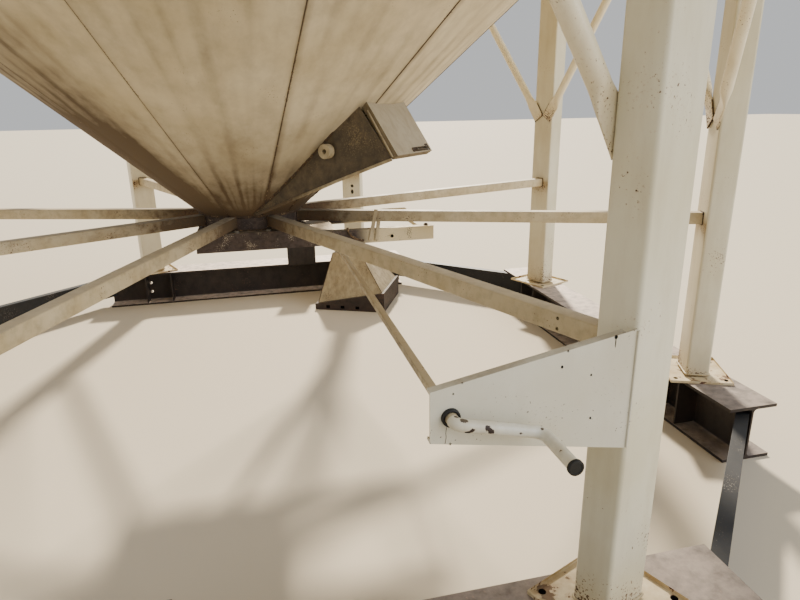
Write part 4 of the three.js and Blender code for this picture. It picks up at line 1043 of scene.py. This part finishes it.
# Boot: sheet funnel on a rusty slotted base

boot = {
    "place": (0.754, 1.491, 0), "turn": -25, "slotsAt": (-0.170, -0.055, 0.060), "slotShadeAt": -0.2525,
    "dirtAndShade": (0.040, 0.002, 0.009, 0.045), "seam": 0.0024, "rim": 0.0032,
    "neck": [(0.5625, 1.4589, 0.41), (0.6555, 1.6583, 0.41),
             (0.8549, 1.5653, 0.41), (0.7619, 1.3659, 0.41)],
    "foot": [(0.426, 1.3791, 0.051), (0.6289, 1.8142, 0.051),
             (1.082, 1.6029, 0.148), (0.8791, 1.1678, 0.148)],
}
dressNode("outlet_boot", "bootFunnel", scuffedEnamel, bevel=0.001)
dressNode("boot_base", "bootBase", rustedSheet, bevel=0.001)
# black slabs in the base's slots: painted shade
slotShades = [(slab(*boot["dirtAndShade"], 0.0006, 0.0004) + (x, boot["slotShadeAt"], 0), False)
          for x in boot["slotsAt"]]
makePiece("slotShade", turned(slotShades, boot["turn"], boot["place"]), darkHole)
bootSeams = [weldBead(ends, boot["seam"], 260 + n, up=(0.3, 0.2, 1))
             for n, ends in enumerate(zip(boot["foot"], boot["neck"]))]
makePiece("bootSeams", bootSeams, rustyBead, sharp=180)
makePiece("bootRim", [weldBead(boot["neck"], boot["rim"], 265, closed=True)], scuffedEnamel,
          sharp=180)

# Skid beams with rolled-in root fillets, and corner ties

beam = {"flange": 0.014, "web": 0.009, "depth": 0.250, "root": 0.012, "half": 1.197, "shortHalf": 1.142}
legLine = ringRadius * math.cos(math.pi / 8)


def rootFillets(rightEnd):
    # quarter hollows of radius `root` in the four corners between web and flanges
    r = beam["root"]
    turn = np.linspace(0, np.pi / 2, 6)
    hollow = np.concatenate([[[0, 0]], np.stack([r - r * np.sin(turn), r - r * np.cos(turn)], axis=-1)])
    grids = []
    for side in (-1, 1):
        for z in (beam["flange"] + hollow[:, 1], beam["depth"] - beam["flange"] - hollow[:, 1]):
            y = side * (beam["web"] / 2 + hollow[:, 0])
            rows = [np.stack([np.full(len(y), x), y, z], axis=-1) for x in (-beam["half"], 0.0, rightEnd)]
            grids.append((capped(np.stack(rows)), False))
    return grids


for side, turn in (("south", 0), ("east", 90), ("north", 180), ("west", 270)):
    dressNode(f"skid_beam_{side}", f"{side}Beam", rustedBeamSteel, bevel=0.0015)
    rightEnd = beam["shortHalf"] if side == "north" else beam["half"]
    shift = around(legLine, math.radians(turn - 90), 0)
    makePiece(f"{side}BeamFillets", turned(rootFillets(rightEnd), turn, shift), rustedBeamSteel,
              sharp=60)
for corner in ("southeast", "northeast", "northwest", "southwest"):
    dressNode(f"corner_tie_{corner}", f"{corner}Tie", dullZinc, bevel=0.001)
print("stage: beams")

# Floor, light and camera

camera = {
    "place": (0.025, -3.075, 1.463), "lens": 27.35, "sensor": 36,
    # degrees: clockwise from +Y seen from above, below level, and about the line of view
    "turn": 13.15, "down": 17.6, "roll": -0.96,
}
stage = {"floorHalf": 60.0, "floor": "#cfc3ad", "room": "#eef0f2", "roomStrength": 0.7, "aim": (0, 0, 1)}
suns = {
    "key": {"place": (2.2, 9.0, 7.2), "energy": 9.0, "width": 0.08, "colour": "#fff3df"},
    "side": {"place": (7, -7, 6), "energy": 2.0, "width": 0.9, "colour": "#f4f6fa"},
}


def standCamera():
    # turn about Z, then up from straight down by 90 - down about X, then roll about the view
    view = bpy.data.objects.new("camera", bpy.data.cameras.new("camera"))
    bpy.context.scene.collection.objects.link(view)
    view.data.lens = camera["lens"]
    view.data.sensor_width = camera["sensor"]
    view.data.sensor_fit = "HORIZONTAL"
    view.data.clip_end = 200
    turns = ((-camera["turn"], "Z"), (90 - camera["down"], "X"), (camera["roll"], "Z"))
    turn, tilt, roll = (Matrix.Rotation(math.radians(angle), 4, axis) for angle, axis in turns)
    view.matrix_world = Matrix.Translation(camera["place"]) @ turn @ tilt @ roll
    bpy.context.scene.camera = view


def layFloor():
    # a level square round the silo, flat in colour
    half = stage["floorHalf"]
    mesh = bpy.data.meshes.new("floor")
    corners = [(-half, -half, 0), (half, -half, 0), (half, half, 0), (-half, half, 0)]
    mesh.from_pydata(corners, [], [(0, 1, 2, 3)])
    material, tree = newMaterial("matFloor")
    shader = addNode(tree, "BsdfPrincipled", {"Base Color": stage["floor"], "Roughness": 0.85})
    addNode(tree, "OutputMaterial", {"Surface": shader})
    mesh.materials.append(material)
    floor = bpy.data.objects.new("floor", mesh)
    bpy.context.scene.collection.objects.link(floor)


def hangSun(name, place, energy, width, colour):
    # a sun lamp that shines from `place` towards the stage's aim
    lamp = bpy.data.lights.new(name, "SUN")
    lamp.energy = energy
    lamp.angle = width
    lamp.color = linear(colour)[:3]
    sun = bpy.data.objects.new(name, lamp)
    bpy.context.scene.collection.objects.link(sun)
    sun.location = place
    sun.rotation_euler = (Vector(stage["aim"]) - Vector(place)).to_track_quat("-Z", "Y").to_euler()


layFloor()
standCamera()
world = bpy.data.worlds.new("softRoom")
world.use_nodes = True
world.node_tree.nodes["Background"].inputs["Color"].default_value = linear(stage["room"])
world.node_tree.nodes["Background"].inputs["Strength"].default_value = stage["roomStrength"]
bpy.context.scene.world = world
for name, sun in suns.items():
    hangSun(name, **sun)
print("stage: light and camera")
